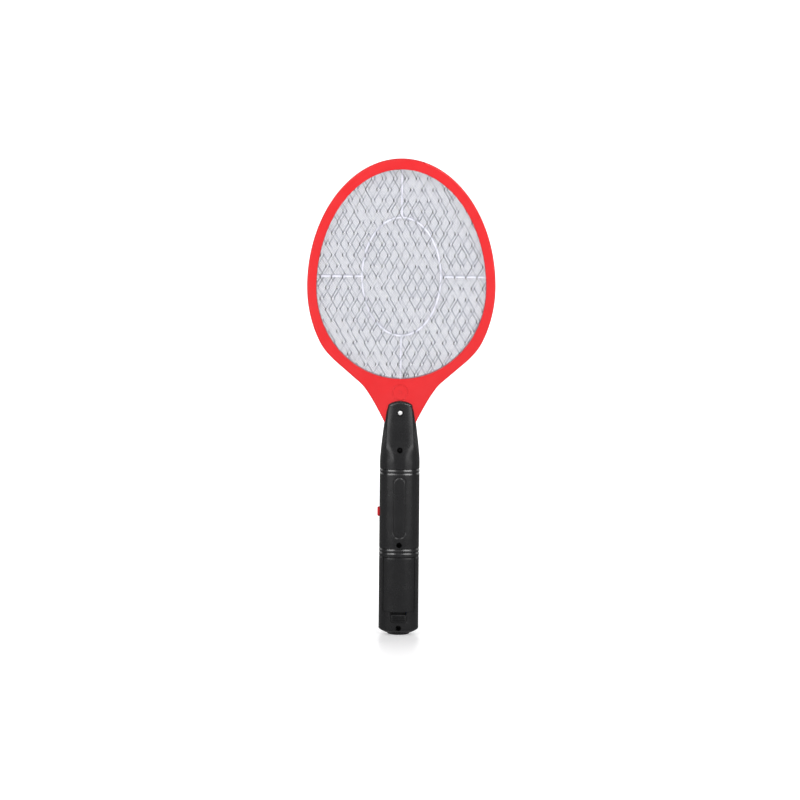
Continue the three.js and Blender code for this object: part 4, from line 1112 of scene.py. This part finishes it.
def build_battery_door():
    """The door: a piece of the grip's wall, with a ridged latch tab on a U-shaped spring and two hooks."""
    low, high, width, inner_y = DOOR.bottom_z, DOOR.top_z, DOOR.half_width, DOOR.inner_y
    panel = wall_piece(-width, width, -FAR, inner_y, low, high, DOOR.corner)
    cut(panel, *door_seams())
    half, leaf = LATCH.half_width, LATCH.wall
    join(panel, wall_piece(-half, half, -FAR, inner_y, LATCH.bottom_z, LATCH.top_z, LATCH_CORNER))
    arm, root, reach = half - LATCH_INSET, LATCH.root, LATCH.reach
    join(panel, box(-arm, arm, root, reach, low, low + leaf))
    join(panel, box(-arm, arm, root, reach, LATCH.top_z - leaf, LATCH.top_z))
    join(panel, box(-arm, arm, reach - LATCH.bend, reach, LATCH.top_z - leaf, low + leaf))
    for side in (-1, 1):
        x0, x1 = sorted((side * HOOK.inner, side * HOOK.outer))
        join(panel, box(x0, x1, HOOK.root, HOOK.back, high - HOOK.root_height, high))
        join(panel, box(x0, x1, HOOK.face, HOOK.back, high - 1, HOOK.top_z))
    wide = RIDGE.half_width
    ridges = [box(-wide, wide, -FAR, RIDGE.floor_y, z, z + RIDGE.height) for z in RIDGES_Z]
    cut(panel, latch_crest(), *ridges)
    finish_piece(shade(panel), "battery_door_moulding", "shell_black", "battery_door", body="battery_door")


# ---- Button, screws and lamp ----


def build_button():
    cap = plate_x("cap", button_loop(0), BUTTON.outer_x, BUTTON.inner_x - CAP.overlap, (CAP.edge, 0), 6)
    wide, tall = FLANGE.half_width, FLANGE.half_height
    join(cap, box(FLANGE.outer_x, BUTTON.inner_x, -wide, wide, BUTTON.z - tall, BUTTON.z + tall))
    finish_piece(shade(cap), "push_button_cap", "button_red", "push_button", body="button")


def build_screw(number, head, height, length, y, z, look):
    """A pan-head screw with a cross recess; its point is along +Y."""
    name, root = f"handle_pan_screw_{number}", SHANK * THREAD.root
    dome = [(head * sin(a), -height * cos(a)) for a in quarter_turn(8)[1:]]
    profile = [(0, -height)] + dome + [(SHANK, 0)]
    for k in range(int((length - THREAD.plain) / THREAD.pitch)):
        start = THREAD.start + THREAD.pitch * k
        profile += [(root, start), (SHANK, start + THREAD.pitch / 2)]
    profile += [(root, length - THREAD.point), (0, length)]
    screw = lathe(name, profile)
    arm, slot, floor = head * RECESS.arm, RECESS.half_width, -height * RECESS.depth
    cut(screw, box(-arm, arm, -FAR, floor, -slot, slot))
    cut(screw, box(-slot, slot, -FAR, floor, -arm, arm))
    screw.data.transform(Matrix.Translation(Vector((0, y, z)) * MM))
    finish_piece(shade(screw, 40), name, "nickel", f"handle_screw_{number}", look=look)


def build_lamp():
    radius, tip = LAMP.radius, LAMP.tip_y
    base, rim = tip - LAMP.length, radius + LAMP.rim
    dome = [(radius * cos(a), tip - radius + radius * sin(a)) for a in quarter_turn(8)[:-1]]
    step = base + LAMP.rim_height
    lamp = lathe("lamp", [(0, base), (rim, base), (rim, step), (radius, step), *dome, (0, tip)], 40)
    leg_end = BOARD.face + BOARD.thickness + GAP
    for x in (-LAMP.leg_x, LAMP.leg_x):
        join(lamp, rod_y(LAMP.leg, leg_end, base + 0.5, x, 0, 12))
    lamp.data.transform(Matrix.Translation(Vector((0, 0, LAMP.z)) * MM))
    finish_piece(shade(lamp, 40), "indicator_lamp_lens", "lamp_red", "indicator_lamp")


def build_handle():
    build_back_shell()
    build_front_shell()
    build_battery_door()
    build_button()
    for number, (z, _, seat, tip, head, height) in enumerate(SCREWS, 1):
        under = seat - GAP
        # screw 1 gets the painted-highlight look, the others the painted-shade look
        look = "bright_zinc" if number == 1 else "dull_zinc"
        build_screw(number, head, height, tip - under, under, z, look)
    build_lamp()


# ---- Finishes of the CAD nodes that stay ----


def paint_cad_nodes():
    for name, node in frame["nodes"].items():
        if not node.hide_render:
            node.data.materials.clear()
            node.data.materials.append(MATERIALS[SLOT_OF[name]])


# ---- Stage ----


SWEEP = Sizes(half_width=5, front=-3.6, rise_y=1.3, radius=0.9, top=3.6, turns=18, split=13)
GLOW = Sizes(foot=0.39, behind=1, before=0.75)


def sweep_line():
    """The backdrop's outline from front to back: a floor that curves up into a wall."""
    rise, radius = SWEEP.rise_y, SWEEP.radius
    line = [(SWEEP.front, 0), (-1, 0), (0, 0), (rise, 0)]
    line += [(rise + radius * sin(a), radius * (1 - cos(a))) for a in quarter_turn(SWEEP.turns)[1:]]
    return [*line, (rise + radius, SWEEP.top)]


def studio_white():
    """A white that glows less round the swatter's foot, so that its shadow shows."""
    tree = Tree("studio_white")
    depth = tree.along("Y")
    behind = tree.ramp(depth, -0.05, 0.5, GLOW.foot, GLOW.behind)
    before = tree.ramp(depth, -0.03, -0.2, GLOW.foot, GLOW.before)
    glow = tree.add(behind, before, "MAXIMUM")
    tone = tree.mix(tree.noise(1.5), srgb(200, 200, 201), srgb(204, 204, 205))
    rough = tree.ramp(tree.noise(6), 0.3, 0.7, 0.3, 0.34)
    return tree.finish(tone, rough, IOR=1.5, Emission_Color=(1, 1, 1, 1), Emission_Strength=glow)


def build_sweep():
    """A white floor and the wall that it curves up into; the shells don't reflect the floor."""
    line = sweep_line()
    material = studio_white()
    for name, part in (("studio_floor", line[: SWEEP.split + 1]), ("studio_wall", line[SWEEP.split :])):
        verts = [(x, y, z) for y, z in part for x in (-SWEEP.half_width, SWEEP.half_width)]
        faces = [(2 * i, 2 * i + 1, 2 * i + 3, 2 * i + 2) for i in range(len(part) - 1)]
        mesh = bpy.data.meshes.new(name)
        mesh.from_pydata(verts, [], faces)
        for polygon in mesh.polygons:
            polygon.use_smooth = True
        mesh.materials.append(material)
        backdrop = put_in_scene(name, mesh)
        backdrop.visible_glossy = name == "studio_wall"


AMBIENT = 0.15
LIGHTS = [  # name, place, target, width and height in metres, and power in watts
    ("left_box", (-0.78, -1.1, 1.3), (0, 0, 0.25), 1.1, 0.34, 11),
    ("right_box", (0.78, -1.1, 1.3), (0, 0, 0.25), 1.1, 0.34, 12.9),
    ("low_strip_-1", (-0.85, -1.25, 0.31), (0, 0, 0.31), 1, 0.52, 3.8),
    ("low_strip_1", (0.85, -1.25, 0.31), (0, 0, 0.31), 1, 0.52, 3.8),
]
CAMERA = Sizes(distance=2.5, height=0.48, aim_z=0.223, across=-0.0003, lens=119.9, sensor=36, roll=0.5)


def softbox(name, place, target, width, height, watts):
    light = bpy.data.lights.new(name, "AREA")
    light.shape = "RECTANGLE"
    light.size, light.size_y = width, height
    light.energy = watts
    lamp = put_in_scene(name, light)
    lamp.location = place
    lamp.rotation_euler = (Vector(target) - Vector(place)).to_track_quat("-Z", "Y").to_euler()


def build_lights():
    world = bpy.data.worlds.new("studio")
    scene.world = world
    world.use_nodes = True
    background = world.node_tree.nodes["Background"]
    background.inputs["Color"].default_value = (1, 1, 1, 1)
    background.inputs["Strength"].default_value = AMBIENT
    for light in LIGHTS:
        softbox(*light)


def build_camera():
    """The photograph's view: from in front and a little above, rolled as much as the swatter leans."""
    data = bpy.data.cameras.new("camera")
    data.lens, data.sensor_width = CAMERA.lens, CAMERA.sensor
    data.clip_start, data.clip_end = 0.01, 50
    camera = put_in_scene("camera", data)
    camera.location = (CAMERA.across, -CAMERA.distance, CAMERA.height)
    aim = Vector((CAMERA.across, 0, CAMERA.aim_z)) - camera.location
    roll = Quaternion((0, 0, 1), radians(CAMERA.roll))
    camera.rotation_euler = (aim.to_track_quat("-Z", "Y") @ roll).to_euler()
    scene.camera = camera


build_head()
build_handle()
paint_cad_nodes()
build_sweep()
build_lights()
build_camera()
scene.view_settings.view_transform = "Standard"
